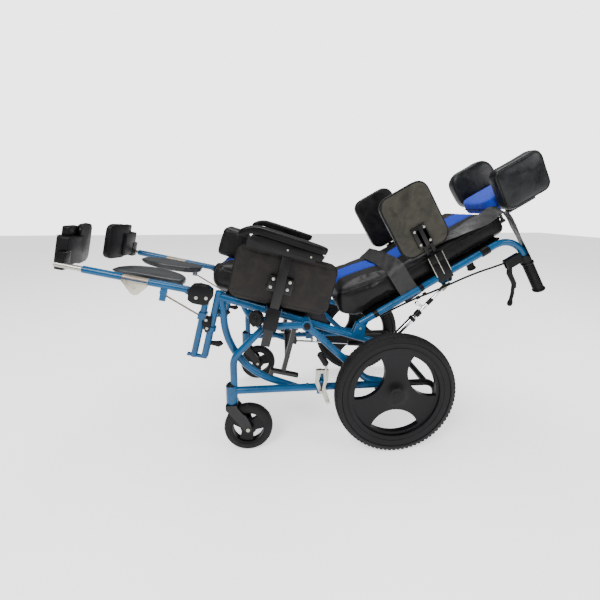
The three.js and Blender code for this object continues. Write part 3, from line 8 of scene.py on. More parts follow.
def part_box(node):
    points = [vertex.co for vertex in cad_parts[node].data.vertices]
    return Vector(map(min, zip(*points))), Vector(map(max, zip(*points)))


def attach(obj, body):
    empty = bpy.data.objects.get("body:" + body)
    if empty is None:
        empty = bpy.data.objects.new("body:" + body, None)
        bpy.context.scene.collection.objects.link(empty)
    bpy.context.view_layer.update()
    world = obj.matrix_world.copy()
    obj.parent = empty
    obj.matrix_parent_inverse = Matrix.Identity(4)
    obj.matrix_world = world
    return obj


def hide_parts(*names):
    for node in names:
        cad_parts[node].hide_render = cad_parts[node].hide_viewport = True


bl_info = {
    "name": "Tilting care chair",
    "version": (1, 0, 0),
    "blender": (4, 5, 0),
    "location": "View3D > Sidebar > Chair",
    "description": "Covers, tubes, wheels and fittings of a chair that tilts and reclines",
    "category": "Object",
}

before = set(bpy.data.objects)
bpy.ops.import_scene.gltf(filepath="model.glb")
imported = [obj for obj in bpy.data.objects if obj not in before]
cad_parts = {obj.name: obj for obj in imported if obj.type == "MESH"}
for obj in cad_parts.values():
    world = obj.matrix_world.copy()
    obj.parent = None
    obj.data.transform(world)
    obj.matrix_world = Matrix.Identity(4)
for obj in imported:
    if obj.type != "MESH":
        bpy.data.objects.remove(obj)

# The rear axle's place along the chair, in metres
AXLE = sum(corner.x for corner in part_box("rear_tyre_left")) / 2
# All other places are in millimetres from the rear axle, the floor and the middle of the chair
# How far the seat is tilted, how it slopes to the tilted frame, and how the back leans to it, in degrees
TILT_ANGLE = 14.3
SEAT_SLOPE = 4
BACK_ANGLE = 46
# The tilt shaft from the axle; then the back's hinge and the struts' lower pivot from it, on the seat
SHAFT = (-283, 0, 420)
BACK_HINGE = (180, 0, 20)
STRUT_FOOT = (278, 0, -33)
# The struts' upper pivot from the back's hinge, on the leaning back
STRUT_TOP = (22, 0, 326)


def pitch(degrees):
    """A turn about the crosswise axis."""
    return Matrix.Rotation(math.radians(degrees), 4, "Y")


def shift(x, y, z):
    """A move along the three axes."""
    return Matrix.Translation((x, y, z))


ROW = shift(AXLE, 0, 0) @ Matrix.Scale(0.001, 4)
TILT = ROW @ shift(*SHAFT) @ pitch(TILT_ANGLE)
SLOPE = TILT @ pitch(SEAT_SLOPE)
BACK = TILT @ shift(*BACK_HINGE) @ pitch(BACK_ANGLE)
SIDES = (("left", -1), ("right", 1))
# Half distances across: seat rails, base frames and rear wheels
RAIL = 187
BASE = 216
WHEEL = 257
# Bare radii of the frame tube and of the thinner tube, and the heights of the rear and caster axles
TUBE = 11
THIN_TUBE = 10
AXLE_HEIGHT = 200
CASTER_HEIGHT = 79
# Heights of the base's lower rail, and of the legrest's tube and the push handles in their own frames
LOWER_RAIL = 206
LEG_TUBE = 15.5
HANDLE = 602
# The stitches run this far inside the edge of the knitted band
SEAM_INSET = 3.4
# The right foot tube is pushed this much further in
PUSHED_IN = {"left": 0, "right": 42}


def span(s, a, b):
    """Two distances outward on one side, as a low and a high place across the chair."""
    return sorted((s * a, s * b))


def hang(s):
    """The place of one legrest hanger: under the seat rail of that side."""
    return TILT @ shift(0, s * RAIL, 0)


def leg(s):
    """The place of one raised legrest, whose tube runs toward -X from the knuckle."""
    return hang(s) @ shift(-360, 0, 6) @ pitch(-1.5)


# Colours and nodes
def tone(code, alpha=1.0):
    """An sRGB hex colour as the linear values that a shader takes."""
    parts = [int(code[i:i + 2], 16) / 255 for i in (1, 3, 5)]
    return tuple(p / 12.92 if p <= 0.04045 else ((p + 0.055) / 1.055) ** 2.4 for p in parts) + (alpha,)


# A texture's values lie near its middle, so the tones and the gloss change over this share of it
LOW_STOP = 0.35
HIGH_STOP = 0.65
SPREAD = {"From Min": 0.3, "From Max": 0.7}


def node(tree, kind, links=(), onto=(), **settings):
    """Add one node: settings, values by input name, stops of a ramp, links to its inputs and onto others."""
    made = tree.nodes.new(kind)
    values = settings.pop("values", {})
    stops = settings.pop("stops", ())
    for name, value in settings.items():
        setattr(made, name, value)
    for name, value in values.items():
        made.inputs[name].default_value = value
    for number, (position, colour) in enumerate(stops):
        made.color_ramp.elements[number].position = position
        made.color_ramp.elements[number].color = colour
    for name, source, output in links:
        tree.links.new(source.outputs[output], made.inputs[name])
    for output, target, name in onto:
        tree.links.new(made.outputs[output], target.inputs[name])
    return made


def shade(colour, share):
    """The same colour, darker or lighter by a share."""
    return tuple(min(1, part * share) for part in colour[:3]) + (1,)


def surface(name):
    """A new material with its Principled shader and Object coordinates."""
    material = bpy.data.materials.new(name)
    material.use_nodes = True
    tree = material.node_tree
    shader = tree.nodes["Principled BSDF"]
    place = node(tree, "ShaderNodeTexCoord")
    return material, tree, shader, place


def quiet(shader, level):
    """Lower the mirror share of a skin, so that it stays dark and deep in colour."""
    shader.inputs["Specular IOR Level"].default_value = level


# Materials
def enamel(look):
    """Stoved enamel on steel tube: a deep, even blue with a soft gloss and a faint orange peel."""
    material, tree, shader, place = surface("stoved blue enamel")
    quiet(shader, 0.25)
    shader.inputs["Coat Weight"].default_value = 0.1
    shader.inputs["Coat Roughness"].default_value = 0.15
    # Sprayed colour drifts a little over about 60 mm
    drift = node(tree, "ShaderNodeTexNoise", [("Vector", place, "Object")],
                 values={"Scale": 16.0, "Detail": 3.0})
    node(tree, "ShaderNodeValToRGB", [("Fac", drift, "Fac")], [("Color", shader, "Base Color")],
         stops=((LOW_STOP, shade(look, 0.82)), (HIGH_STOP, shade(look, 1.12))))
    # Orange peel is about 2 mm across
    peel = node(tree, "ShaderNodeTexNoise", [("Vector", place, "Object")],
                values={"Scale": 420.0, "Detail": 1.0})
    node(tree, "ShaderNodeMapRange", [("Value", drift, "Fac")], [("Result", shader, "Roughness")],
         values={**SPREAD, "To Min": 0.22, "To Max": 0.34})
    node(tree, "ShaderNodeBump", [("Height", peel, "Fac")], [("Normal", shader, "Normal")],
         values={"Strength": 0.06, "Distance": 0.0004})
    return material


def powder_black():
    """Polyester powder coat on steel: satin black with a fine pebbled skin."""
    material, tree, shader, place = surface("black powder coat")
    quiet(shader, 0.3)
    pebble = node(tree, "ShaderNodeTexNoise", [("Vector", place, "Object")],
                  values={"Scale": 700.0, "Detail": 2.0})
    dust = node(tree, "ShaderNodeTexNoise", [("Vector", place, "Object")],
                values={"Scale": 22.0, "Detail": 5.0})
    node(tree, "ShaderNodeValToRGB", [("Fac", dust, "Fac")], [("Color", shader, "Base Color")],
         stops=((LOW_STOP, tone("#040405")), (HIGH_STOP, tone("#0c0c0d"))))
    node(tree, "ShaderNodeMapRange", [("Value", dust, "Fac")], [("Result", shader, "Roughness")],
         values={**SPREAD, "To Min": 0.3, "To Max": 0.46})
    node(tree, "ShaderNodeBump", [("Height", pebble, "Fac")], [("Normal", shader, "Normal")],
         values={"Strength": 0.15, "Distance": 0.0003})
    return material


def moulded_black(name="moulded black nylon", low="#060607", high="#0f0f11", rough=(0.32, 0.5)):
    """Glass filled nylon from a spark eroded mould: even near black with a fine matt grain."""
    material, tree, shader, place = surface(name)
    quiet(shader, 0.14)
    grain = node(tree, "ShaderNodeTexVoronoi", [("Vector", place, "Object")], values={"Scale": 620.0})
    cloud = node(tree, "ShaderNodeTexNoise", [("Vector", place, "Object")],
                 values={"Scale": 14.0, "Detail": 4.0})
    node(tree, "ShaderNodeValToRGB", [("Fac", cloud, "Fac")], [("Color", shader, "Base Color")],
         stops=((LOW_STOP, tone(low)), (HIGH_STOP, tone(high))))
    node(tree, "ShaderNodeMapRange", [("Value", cloud, "Fac")], [("Result", shader, "Roughness")],
         values={**SPREAD, "To Min": rough[0], "To Max": rough[1]})
    node(tree, "ShaderNodeBump", [("Height", grain, "Distance")], [("Normal", shader, "Normal")],
         values={"Strength": 0.18, "Distance": 0.0003})
    return material


def bright_metal(name, colour, rough, streak):
    """Plated or drawn steel: a bright skin with fine lines left by the polishing."""
    material, tree, shader, place = surface(name)
    shader.inputs["Metallic"].default_value = 1.0
    stretch = node(tree, "ShaderNodeMapping", [("Vector", place, "Object")],
                   values={"Scale": (1.0, 1.0, streak)})
    lines = node(tree, "ShaderNodeTexNoise", [("Vector", stretch, "Vector")],
                 values={"Scale": 260.0, "Detail": 3.0})
    base = tone(colour)
    node(tree, "ShaderNodeValToRGB", [("Fac", lines, "Fac")], [("Color", shader, "Base Color")],
         stops=((LOW_STOP, shade(base, 0.8)), (HIGH_STOP, base)))
    node(tree, "ShaderNodeMapRange", [("Value", lines, "Fac")], [("Result", shader, "Roughness")],
         values={**SPREAD, "To Min": rough * 0.75, "To Max": rough * 1.4})
    node(tree, "ShaderNodeBump", [("Height", lines, "Fac")], [("Normal", shader, "Normal")],
         values={"Strength": 0.05, "Distance": 0.0002})
    return material


def tyre_rubber():
    """Carbon black rubber: matt, a little grey where it has touched the floor."""
    material, tree, shader, place = surface("carbon black rubber")
    quiet(shader, 0.25)
    scuff = node(tree, "ShaderNodeTexNoise", [("Vector", place, "Object")],
                 values={"Scale": 45.0, "Detail": 6.0})
    node(tree, "ShaderNodeValToRGB", [("Fac", scuff, "Fac")], [("Color", shader, "Base Color")],
         stops=((0.4, tone("#070708")), (0.8, tone("#171718"))))
    node(tree, "ShaderNodeMapRange", [("Value", scuff, "Fac")], [("Result", shader, "Roughness")],
         values={**SPREAD, "To Min": 0.62, "To Max": 0.86})
    pores = node(tree, "ShaderNodeTexNoise", [("Vector", place, "Object")],
                 values={"Scale": 900.0, "Detail": 2.0})
    node(tree, "ShaderNodeBump", [("Height", pores, "Fac")], [("Normal", shader, "Normal")],
         values={"Strength": 0.25, "Distance": 0.0003})
    return material


def foam_skin():
    """Self skinned polyurethane foam, as on arm pads and grips: soft black with a faint leather print."""
    material, tree, shader, place = surface("self skinned foam")
    quiet(shader, 0.16)
    pressed = node(tree, "ShaderNodeTexVoronoi", [("Vector", place, "Object")], values={"Scale": 380.0},
                   feature="DISTANCE_TO_EDGE")
    cloud = node(tree, "ShaderNodeTexNoise", [("Vector", place, "Object")],
                 values={"Scale": 25.0, "Detail": 3.0})
    node(tree, "ShaderNodeValToRGB", [("Fac", cloud, "Fac")], [("Color", shader, "Base Color")],
         stops=((LOW_STOP, tone("#030304")), (HIGH_STOP, tone("#080809"))))
    node(tree, "ShaderNodeMapRange", [("Value", cloud, "Fac")], [("Result", shader, "Roughness")],
         values={**SPREAD, "To Min": 0.34, "To Max": 0.5})
    node(tree, "ShaderNodeBump", [("Height", pressed, "Distance")], [("Normal", shader, "Normal")],
         values={"Strength": 0.25, "Distance": 0.0005})
    return material


def leatherette(name, low, high, rough=(0.36, 0.55), crease=0.35, shine=0.2):
    """Polyurethane leatherette: near black, pebbled, with soft creases that catch the light."""
    material, tree, shader, place = surface(name)
    quiet(shader, shine)
    shader.inputs["Sheen Weight"].default_value = 0.03
    shader.inputs["Sheen Roughness"].default_value = 0.4
    # The pressed grain is about 1 mm; it is drawn at about 2.5 mm so that it shows
    grain = node(tree, "ShaderNodeTexVoronoi", [("Vector", place, "Object")], values={"Scale": 400.0})
    folds = node(tree, "ShaderNodeTexNoise", [("Vector", place, "Object")],
                 values={"Scale": 26.0, "Detail": 6.0, "Distortion": 0.7})
    node(tree, "ShaderNodeValToRGB", [("Fac", folds, "Fac")], [("Color", shader, "Base Color")],
         stops=((LOW_STOP, tone(low)), (HIGH_STOP, tone(high))))
    node(tree, "ShaderNodeMapRange", [("Value", folds, "Fac")], [("Result", shader, "Roughness")],
         values={**SPREAD, "To Min": rough[0], "To Max": rough[1]})
    fine = node(tree, "ShaderNodeBump", [("Height", grain, "Distance")],
                values={"Strength": 0.22, "Distance": 0.0005})
    node(tree, "ShaderNodeBump", [("Height", folds, "Fac"), ("Normal", fine, "Normal")],
         [("Normal", shader, "Normal")], values={"Strength": crease, "Distance": 0.003})
    return material


def striped_cover(look, half):
    """A cushion cover: leatherette with a band of knitted spacer fabric down its middle."""
    material, tree, shader, place = surface("leatherette with fabric band")
    quiet(shader, 0.2)
    shader.inputs["Sheen Weight"].default_value = 0.03
    shader.inputs["Sheen Roughness"].default_value = 0.45
    split = node(tree, "ShaderNodeSeparateXYZ", [("Vector", place, "Object")])
    aside = node(tree, "ShaderNodeMath", [(0, split, "Y")], operation="ABSOLUTE")
    band = node(tree, "ShaderNodeMapRange", [("Value", aside, 0)],
                values={"From Min": half - 0.0006, "From Max": half + 0.0006, "To Min": 1.0, "To Max": 0.0})
    folds = node(tree, "ShaderNodeTexNoise", [("Vector", place, "Object")],
                 values={"Scale": 24.0, "Detail": 6.0, "Distortion": 0.6})
    hide = node(tree, "ShaderNodeValToRGB", [("Fac", folds, "Fac")],
                stops=((LOW_STOP, tone("#060606")), (0.7, tone("#121111"))))
    # The knit repeats about every 1.5 mm; it is drawn at 3 mm so that it shows
    mesh = node(tree, "ShaderNodeTexVoronoi", [("Vector", place, "Object")],
                values={"Scale": 330.0, "Randomness": 0.1})
    knit = node(tree, "ShaderNodeValToRGB", [("Fac", mesh, "Distance")],
                stops=((0, shade(look, 0.62)), (1, shade(look, 1.25))))
    node(tree, "ShaderNodeMix", [("Factor", band, "Result"), ("A", hide, "Color"), ("B", knit, "Color")],
         [("Result", shader, "Base Color")], data_type="RGBA")
    node(tree, "ShaderNodeMapRange", [("Value", band, "Result")], [("Result", shader, "Roughness")],
         values={"To Min": 0.42, "To Max": 0.85})
    grain = node(tree, "ShaderNodeTexVoronoi", [("Vector", place, "Object")], values={"Scale": 400.0})
    fine = node(tree, "ShaderNodeBump", [("Height", grain, "Distance")],
                values={"Strength": 0.25, "Distance": 0.0006})
    node(tree, "ShaderNodeBump", [("Height", folds, "Fac"), ("Normal", fine, "Normal")],
         [("Normal", shader, "Normal")], values={"Strength": 0.35, "Distance": 0.003})
    return material


def spacer_knit(look):
    """Knitted polyester spacer fabric: royal blue with a small honeycomb of holes."""
    material, tree, shader, place = surface("blue spacer knit")
    shader.inputs["Sheen Weight"].default_value = 0.1
    shader.inputs["Roughness"].default_value = 0.85
    quiet(shader, 0.3)
    mesh = node(tree, "ShaderNodeTexVoronoi", [("Vector", place, "Object")],
                values={"Scale": 330.0, "Randomness": 0.1})
    node(tree, "ShaderNodeValToRGB", [("Fac", mesh, "Distance")], [("Color", shader, "Base Color")],
         stops=((0.1, shade(look, 0.62)), (0.7, shade(look, 1.25))))
    node(tree, "ShaderNodeBump", [("Height", mesh, "Distance")], [("Normal", shader, "Normal")],
         values={"Strength": 0.4, "Distance": 0.0006})
    return material


def webbing():
    """Woven polypropylene webbing: black, ribbed across, with a slight shine on the ribs."""
    material, tree, shader, place = surface("woven black webbing")
    # The ribs are read from the strap's own UV map, whose u runs along it in metres
    ribs = node(tree, "ShaderNodeTexWave", [("Vector", place, "UV")], wave_type="BANDS", bands_direction="X",
                values={"Scale": 110.0, "Distortion": 0.6, "Detail": 2.0})
    cloud = node(tree, "ShaderNodeTexNoise", [("Vector", place, "Object")],
                 values={"Scale": 60.0, "Detail": 4.0})
    node(tree, "ShaderNodeValToRGB", [("Fac", cloud, "Fac")], [("Color", shader, "Base Color")],
         stops=((LOW_STOP, tone("#0a0a0b")), (HIGH_STOP, tone("#18181a"))))
    node(tree, "ShaderNodeMapRange", [("Value", cloud, "Fac")], [("Result", shader, "Roughness")],
         values={**SPREAD, "To Min": 0.4, "To Max": 0.62})
    node(tree, "ShaderNodeBump", [("Height", ribs, "Fac")], [("Normal", shader, "Normal")],
         values={"Strength": 0.35, "Distance": 0.0006})
    return material


def stitch_thread():
    """Bonded polyester thread: dark grey, a little shiny."""
    material, tree, shader, place = surface("bonded thread")
    twist = node(tree, "ShaderNodeTexNoise", [("Vector", place, "Object")],
                 values={"Scale": 900.0, "Detail": 1.0})
    node(tree, "ShaderNodeValToRGB", [("Fac", twist, "Fac")], [("Color", shader, "Base Color")],
         stops=((LOW_STOP, tone("#141416")), (HIGH_STOP, tone("#242427"))))
    node(tree, "ShaderNodeMapRange", [("Value", twist, "Fac")], [("Result", shader, "Roughness")],
         values={**SPREAD, "To Min": 0.4, "To Max": 0.6})
    return material


def seat_board():
    """Phenolic faced plywood under the seat: near black film with a fine wire mark."""
    material, tree, shader, place = surface("phenolic faced board")
    mark = node(tree, "ShaderNodeTexWave", [("Vector", place, "Object")], bands_direction="DIAGONAL",
                values={"Scale": 90.0, "Distortion": 1.5, "Detail": 2.0})
    cloud = node(tree, "ShaderNodeTexNoise", [("Vector", place, "Object")],
                 values={"Scale": 12.0, "Detail": 4.0})
    node(tree, "ShaderNodeValToRGB", [("Fac", cloud, "Fac")], [("Color", shader, "Base Color")],
         stops=((LOW_STOP, tone("#080706")), (HIGH_STOP, tone("#100e0d"))))
    node(tree, "ShaderNodeMapRange", [("Value", cloud, "Fac")], [("Result", shader, "Roughness")],
         values={**SPREAD, "To Min": 0.4, "To Max": 0.6})
    node(tree, "ShaderNodeBump", [("Height", mark, "Fac")], [("Normal", shader, "Normal")],
         values={"Strength": 0.12, "Distance": 0.0003})
    return material


def paper():
    """Seamless white background paper: matt, with the slight tooth of uncoated stock."""
    material, tree, shader, place = surface("white background paper")
    tooth = node(tree, "ShaderNodeTexNoise", [("Vector", place, "Object")],
                 values={"Scale": 300.0, "Detail": 2.0})
    node(tree, "ShaderNodeValToRGB", [("Fac", tooth, "Fac")], [("Color", shader, "Base Color")],
         stops=((LOW_STOP, tone("#f3f3f3")), (HIGH_STOP, tone("#f8f8f8"))))
    shader.inputs["Roughness"].default_value = 0.9
    shader.inputs["Emission Color"].default_value = (1, 1, 1, 1)
    shader.inputs["Emission Strength"].default_value = 0.9
    return material


# Materials by short name
LOOKS = {}


# Hard pieces
class Shells:
    """Gathers the closed shells of one piece, in a local millimetre frame."""

    def __init__(self):
        self.mesh = bmesh.new()

    def take(self, points, faces, paint=0, soften=0.0, steps=2):
        """Add one closed shell, with its edges rounded by soften."""
        new = [self.mesh.verts.new(p) for p in points]
        made = [self.mesh.faces.new([new[i] for i in f]) for f in faces]
        for face in made:
            face.material_index = paint
        bmesh.ops.recalc_face_normals(self.mesh, faces=made)
        if soften:
            edges = list({e for f in made for e in f.edges})
            done = bmesh.ops.bevel(self.mesh, geom=edges, offset=soften, segments=steps, profile=0.5,
                                   affect="EDGES", clamp_overlap=True)
            for face in done["faces"]:
                face.material_index = paint

    def sweep(self, stations, radii, sides=20, paint=0):
        """A round tube through stations, with the radius of each."""
        rings, side = [], None
        last = len(stations) - 1
        for i, here in enumerate(stations):
            ahead = (stations[min(i + 1, last)] - stations[max(i - 1, 0)]).normalized()
            if side is None:
                side = ahead.orthogonal().normalized()
            side = (side - ahead * side.dot(ahead)).normalized()
            other = ahead.cross(side)
            rings.append([here + (side * math.cos(a) + other * math.sin(a)) * radii[i]
                          for a in (2 * math.pi * k / sides for k in range(sides))])
        points = [p for ring in rings for p in ring]
        faces = [[i * sides + k, i * sides + (k + 1) % sides, (i + 1) * sides + (k + 1) % sides,
                  (i + 1) * sides + k] for i in range(last) for k in range(sides)]
        faces += [list(range(sides)), list(range(last * sides, (last + 1) * sides))]
        self.take(points, faces, paint)

    def rod(self, a, b, radius, end=None, sides=20, paint=0, edge=0.8):
        """A straight rod between two points, with a small chamfer at each end."""
        a, b = Vector(a), Vector(b)
        run = (b - a).normalized() * min(edge, (b - a).length / 3)
        end = radius if end is None else end
        self.sweep([a, a + run, b - run, b], [radius - edge, radius, end, end - edge], sides, paint)

    def pipe(self, corners, bends, radius, sides=20, paint=0, steps=8):
        """A bent tube: straight runs joined by round bends."""
        corners = [Vector(c) for c in corners]
        stations = [corners[0]]
        for i in range(1, len(corners) - 1):
            into = (corners[i] - corners[i - 1]).normalized()
            out = (corners[i + 1] - corners[i]).normalized()
            turn = into.angle(out)
            start = corners[i] - into * bends[i - 1] * math.tan(turn / 2)
            side = (out - into * into.dot(out)).normalized()
            stations += [start + into * bends[i - 1] * math.sin(turn * k / steps)
                         + side * bends[i - 1] * (1 - math.cos(turn * k / steps)) for k in range(steps + 1)]
        stations.append(corners[-1])
        self.sweep(stations, [radius] * len(stations), sides, paint)

    def slab(self, outline, y0, y1, paint=0, soften=0.8, lie=None):
        """A flat plate whose outline lies in XZ, or where lie puts it."""
        count = len(outline)
        lie = lie or along_xz
        points = [lie(x, z, y) for y in (y0, y1) for x, z in outline]
        faces = [list(range(count)), list(range(count, 2 * count))]
        faces += [[k, (k + 1) % count, count + (k + 1) % count, count + k] for k in range(count)]
        self.take(points, faces, paint, soften)

    def brick(self, x0, x1, y0, y1, z0, z1, paint=0, soften=0.8):
        """A block between two corners."""
        self.slab([(x0, z0), (x1, z0), (x1, z1), (x0, z1)], y0, y1, paint, soften)

    def lathe(self, profile, centre, turns=64, paint=0):
        """A body turned about Y through a centre; its (radius, y) profile is closed or ends on the axis."""
        points, rows = [], []
        for r, y in profile:
            if r < 1e-6:
                rows.append([len(points)] * turns)
                points.append((centre[0], centre[1] + y, centre[2]))
            else:
                rows.append(list(range(len(points), len(points) + turns)))
                points += [(centre[0] + r * math.cos(2 * math.pi * k / turns), centre[1] + y,
                            centre[2] + r * math.sin(2 * math.pi * k / turns)) for k in range(turns)]
        closed = profile[0][0] > 1e-6
        pairs = list(zip(rows, rows[1:])) + ([(rows[-1], rows[0])] if closed else [])
        faces = []
        for low, high in pairs:
            for k in range(turns):
                ring = [low[k], low[(k + 1) % turns], high[(k + 1) % turns], high[k]]
                face = [v for i, v in enumerate(ring) if v not in ring[:i]]
                if len(face) > 2:
                    faces.append(face)
        self.take(points, faces, paint)

    def piece(self, name, place, paints, body, stands_for=(), sharp=35):
        """Turn the shells into one object at the origin, riding on a body."""
        data = bpy.data.meshes.new(name)
        self.mesh.normal_update()
        self.mesh.to_mesh(data)
        self.mesh.free()
        data.transform(place)
        for paint in paints:
            data.materials.append(LOOKS[paint])
        data.shade_smooth()
        data.set_sharp_from_angle(angle=math.radians(sharp))
        thing = new_object(name, data)
        return settle(thing, body, stands_for)


def new_object(name, data):
    """An object for a mesh, linked into the scene at the origin."""
    thing = bpy.data.objects.new(name, data)
    bpy.context.scene.collection.objects.link(thing)
    return thing


def settle(thing, body, stands_for=()):
    """Let an object ride on its body and stand for CAD nodes."""
    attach(thing, body)
    if stands_for:
        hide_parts(*stands_for)
    return thing


# Soft forms
def soft_grid(low, high, radius, step, corner=3):
    """The surface of a round edged block as points, faces and each point's share of the half sizes."""
    half = [(b - a) / 2 for a, b in zip(low, high)]
    middle = [(b + a) / 2 for a, b in zip(low, high)]
    lines = []
    for h in half:
        flat = h - radius
        count = max(1, round(2 * flat / step))
        edge = [flat + radius * math.tan(k * math.pi / (4 * corner)) for k in range(1, corner + 1)]
        lines.append([-e for e in reversed(edge)] + [-flat + 2 * flat * k / count for k in range(count + 1)]
                     + edge)
    found, points, faces = {}, [], []

    def corner_at(i, j, k):
        key = (i, j, k)
        if key not in found:
            raw = [lines[0][i], lines[1][j], lines[2][k]]
            core = [max(radius - h, min(h - radius, v)) for v, h in zip(raw, half)]
            out = Vector(raw) - Vector(core)
            if out.length > 0:
                out = out.normalized() * radius
            p = Vector(core) + out
            found[key] = len(points)
            points.append([p, [p[a] / half[a] for a in range(3)], middle])
        return found[key]

    sizes = [len(line) - 1 for line in lines]
    for axis in range(3):
        u, v = (axis + 1) % 3, (axis + 2) % 3
        for end in (0, sizes[axis]):
            for a in range(sizes[u]):
                for b in range(sizes[v]):
                    ring = []
                    for da, db in ((0, 0), (1, 0), (1, 1), (0, 1)):
                        key = [0, 0, 0]
                        key[axis], key[u], key[v] = end, a + da, b + db
                        ring.append(corner_at(*key))
                    faces.append(ring if end else ring[::-1])
    return points, faces


def apply_modifiers(thing):
    """Turn what the modifiers make into the object's own plain mesh."""
    graph = bpy.context.evaluated_depsgraph_get()
    made = bpy.data.meshes.new_from_object(thing.evaluated_get(graph), depsgraph=graph)
    old = thing.data
    thing.modifiers.clear()
    thing.data = made
    if old.users == 0:
        bpy.data.meshes.remove(old)
    return thing


# Frames that the air has to swell a cover
SWELL_FRAMES = 20


def swell(thing, pressure, cap, voxel):
    """Blow the cover up from inside as foam does, and hold how far any point may go."""
    remesh = thing.modifiers.new("even cloth", "REMESH")
    remesh.mode = "VOXEL"
    remesh.voxel_size = voxel
    apply_modifiers(thing)
    before = [v.co.copy() for v in thing.data.vertices]
    cloth = thing.modifiers.new("swell", "CLOTH")
    cloth.settings.use_pressure = True
    cloth.settings.uniform_pressure_force = pressure
    cloth.settings.effector_weights.gravity = 0
    cloth.settings.quality = 4
    cloth.settings.tension_stiffness = 25
    cloth.settings.compression_stiffness = 25
    cloth.settings.shear_stiffness = 12
    cloth.settings.bending_stiffness = 2
    cloth.point_cache.frame_start = 1
    cloth.point_cache.frame_end = SWELL_FRAMES
    scene = bpy.context.scene
    for number in range(1, SWELL_FRAMES + 1):
        scene.frame_set(number)
    apply_modifiers(thing)
    for vertex, start in zip(thing.data.vertices, before):
        gone = vertex.co - start
        if gone.length > cap:
            vertex.co = start + gone.normalized() * cap
    scene.frame_set(1)
    return thing


def soft_piece(name, place, low, high, radius, paints, body, stands_for, shape=None, step=12, pressure=0,
               cap=0.008, voxel=0.006, seams=(), shrink=2.0):
    """A padded form: shaped, swollen where pressure is given, then drawn in along its seams."""
    low = [v + shrink for v in low]
    high = [v - shrink for v in high]
    points, faces = soft_grid(low, high, radius, step)
    places = []
    for p, share, middle in points:
        if shape:
            shape(p, share)
        places.append(Vector([p[a] + middle[a] for a in range(3)]))
    data = bpy.data.meshes.new(name)
    data.from_pydata([place @ p for p in places], [], faces)
    thing = new_object(name, data)
    if pressure:
        swell(thing, pressure, cap, voxel)
    round_off = thing.modifiers.new("round", "SUBSURF")
    round_off.levels = round_off.render_levels = 1
    apply_modifiers(thing)
    back = place.inverted()
    data = thing.data
    if seams:
        data.update()
        normals = [n.vector.copy() for n in data.vertex_normals]
        for i, vertex in enumerate(data.vertices):
            local = back @ vertex.co
            pull = max(depth * math.exp(-(distance(local) / width) ** 2) for distance, depth, width in seams)
            vertex.co -= normals[i] * pull * 0.001
    data.materials.clear()
    for paint in paints:
        data.materials.append(LOOKS[paint])
    data.shade_smooth()
    data.update()
    settle(thing, body, stands_for)
    return thing


def on_surface(thing, place, path, lift=0.0):
    """Lay a path of local millimetre points on a finished form; gives row frame points and normals."""
    found = []
    for p in path:
        _, spot, normal, _ = thing.closest_point_on_mesh(place @ Vector(p))
        found.append((spot + normal * lift, normal.copy()))
    return found


def welt(name, thing, place, path, radius, body):
    """A sewn piping cord that runs once round a cushion, half sunk in it."""
    spots = [spot for spot, _ in on_surface(thing, place, path, radius * 0.0004)]
    line = spots + spots[:2]
    rim = Shells()
    rim.sweep(line, [radius * 0.001] * len(line), 8)
    rim.piece(name, Matrix.Identity(4), ["hide"], body, sharp=80)


def rounded_path(x0, x1, z0, z1, radius, steps=6, spacing=14):
    """A rounded rectangle as (a, b) pairs with evenly spaced points."""
    corners = [(x1 - radius, z1 - radius, 0), (x0 + radius, z1 - radius, 90),
               (x0 + radius, z0 + radius, 180), (x1 - radius, z0 + radius, 270)]
    ring = []
    for cx, cz, start in corners:
        ring += [(cx + radius * math.cos(math.radians(start + 90 * k / steps)),
                  cz + radius * math.sin(math.radians(start + 90 * k / steps))) for k in range(steps + 1)]
    full = []
    for a, b in zip(ring, ring[1:] + ring[:1]):
        gap = math.hypot(b[0] - a[0], b[1] - a[1])
        count = max(1, int(gap // spacing))
        full += [(a[0] + (b[0] - a[0]) * k / count, a[1] + (b[1] - a[1]) * k / count) for k in range(count)]
    return full


# Repeats made by Geometry Nodes
def repeat_tree(name, sizes, build):
    """A Geometry Nodes tree with named sizes; build gives the instances to realise."""
    tree = bpy.data.node_groups.new(name, "GeometryNodeTree")
    tree.interface.new_socket("Geometry", in_out="INPUT", socket_type="NodeSocketGeometry")
    for label, default in sizes.items():
        socket = tree.interface.new_socket(label, in_out="INPUT", socket_type="NodeSocketFloat")
        socket.default_value = default
    tree.interface.new_socket("Material", in_out="INPUT", socket_type="NodeSocketMaterial")
    tree.interface.new_socket("Geometry", in_out="OUTPUT", socket_type="NodeSocketGeometry")
    start = tree.nodes.new("NodeGroupInput")
    made = build(tree, start)
    real = node(tree, "GeometryNodeRealizeInstances", [("Geometry", made, made.outputs[0].name)])
    paint = node(tree, "GeometryNodeSetMaterial",
                 [("Geometry", real, "Geometry"), ("Material", start, "Material")])
    end = tree.nodes.new("NodeGroupOutput")
    tree.links.new(paint.outputs["Geometry"], end.inputs["Geometry"])
    return tree


def stitch_run(tree, start):
    """Short thread loops along a path, each turned to follow it."""
    path = node(tree, "GeometryNodeMeshToCurve", [("Mesh", start, "Geometry")])
    spaced = node(tree, "GeometryNodeResampleCurve", [("Curve", path, "Curve")])
    spaced.mode = "LENGTH"
    tree.links.new(start.outputs["Spacing"], spaced.inputs["Length"])
    loop = node(tree, "GeometryNodeMeshUVSphere", [("Radius", start, "Radius")],
                values={"Segments": 6, "Rings": 4})
    longer = node(tree, "GeometryNodeTransform", [("Geometry", loop, "Mesh")],
                  values={"Scale": (1.0, 1.0, 2.6)})
    along = node(tree, "GeometryNodeInputTangent")
    turn = node(tree, "FunctionNodeAlignRotationToVector", [("Vector", along, "Tangent")], axis="Z")
    return node(tree, "GeometryNodeInstanceOnPoints",
                [("Points", spaced, "Curve"), ("Instance", longer, "Geometry"),
                 ("Rotation", turn, "Rotation")])


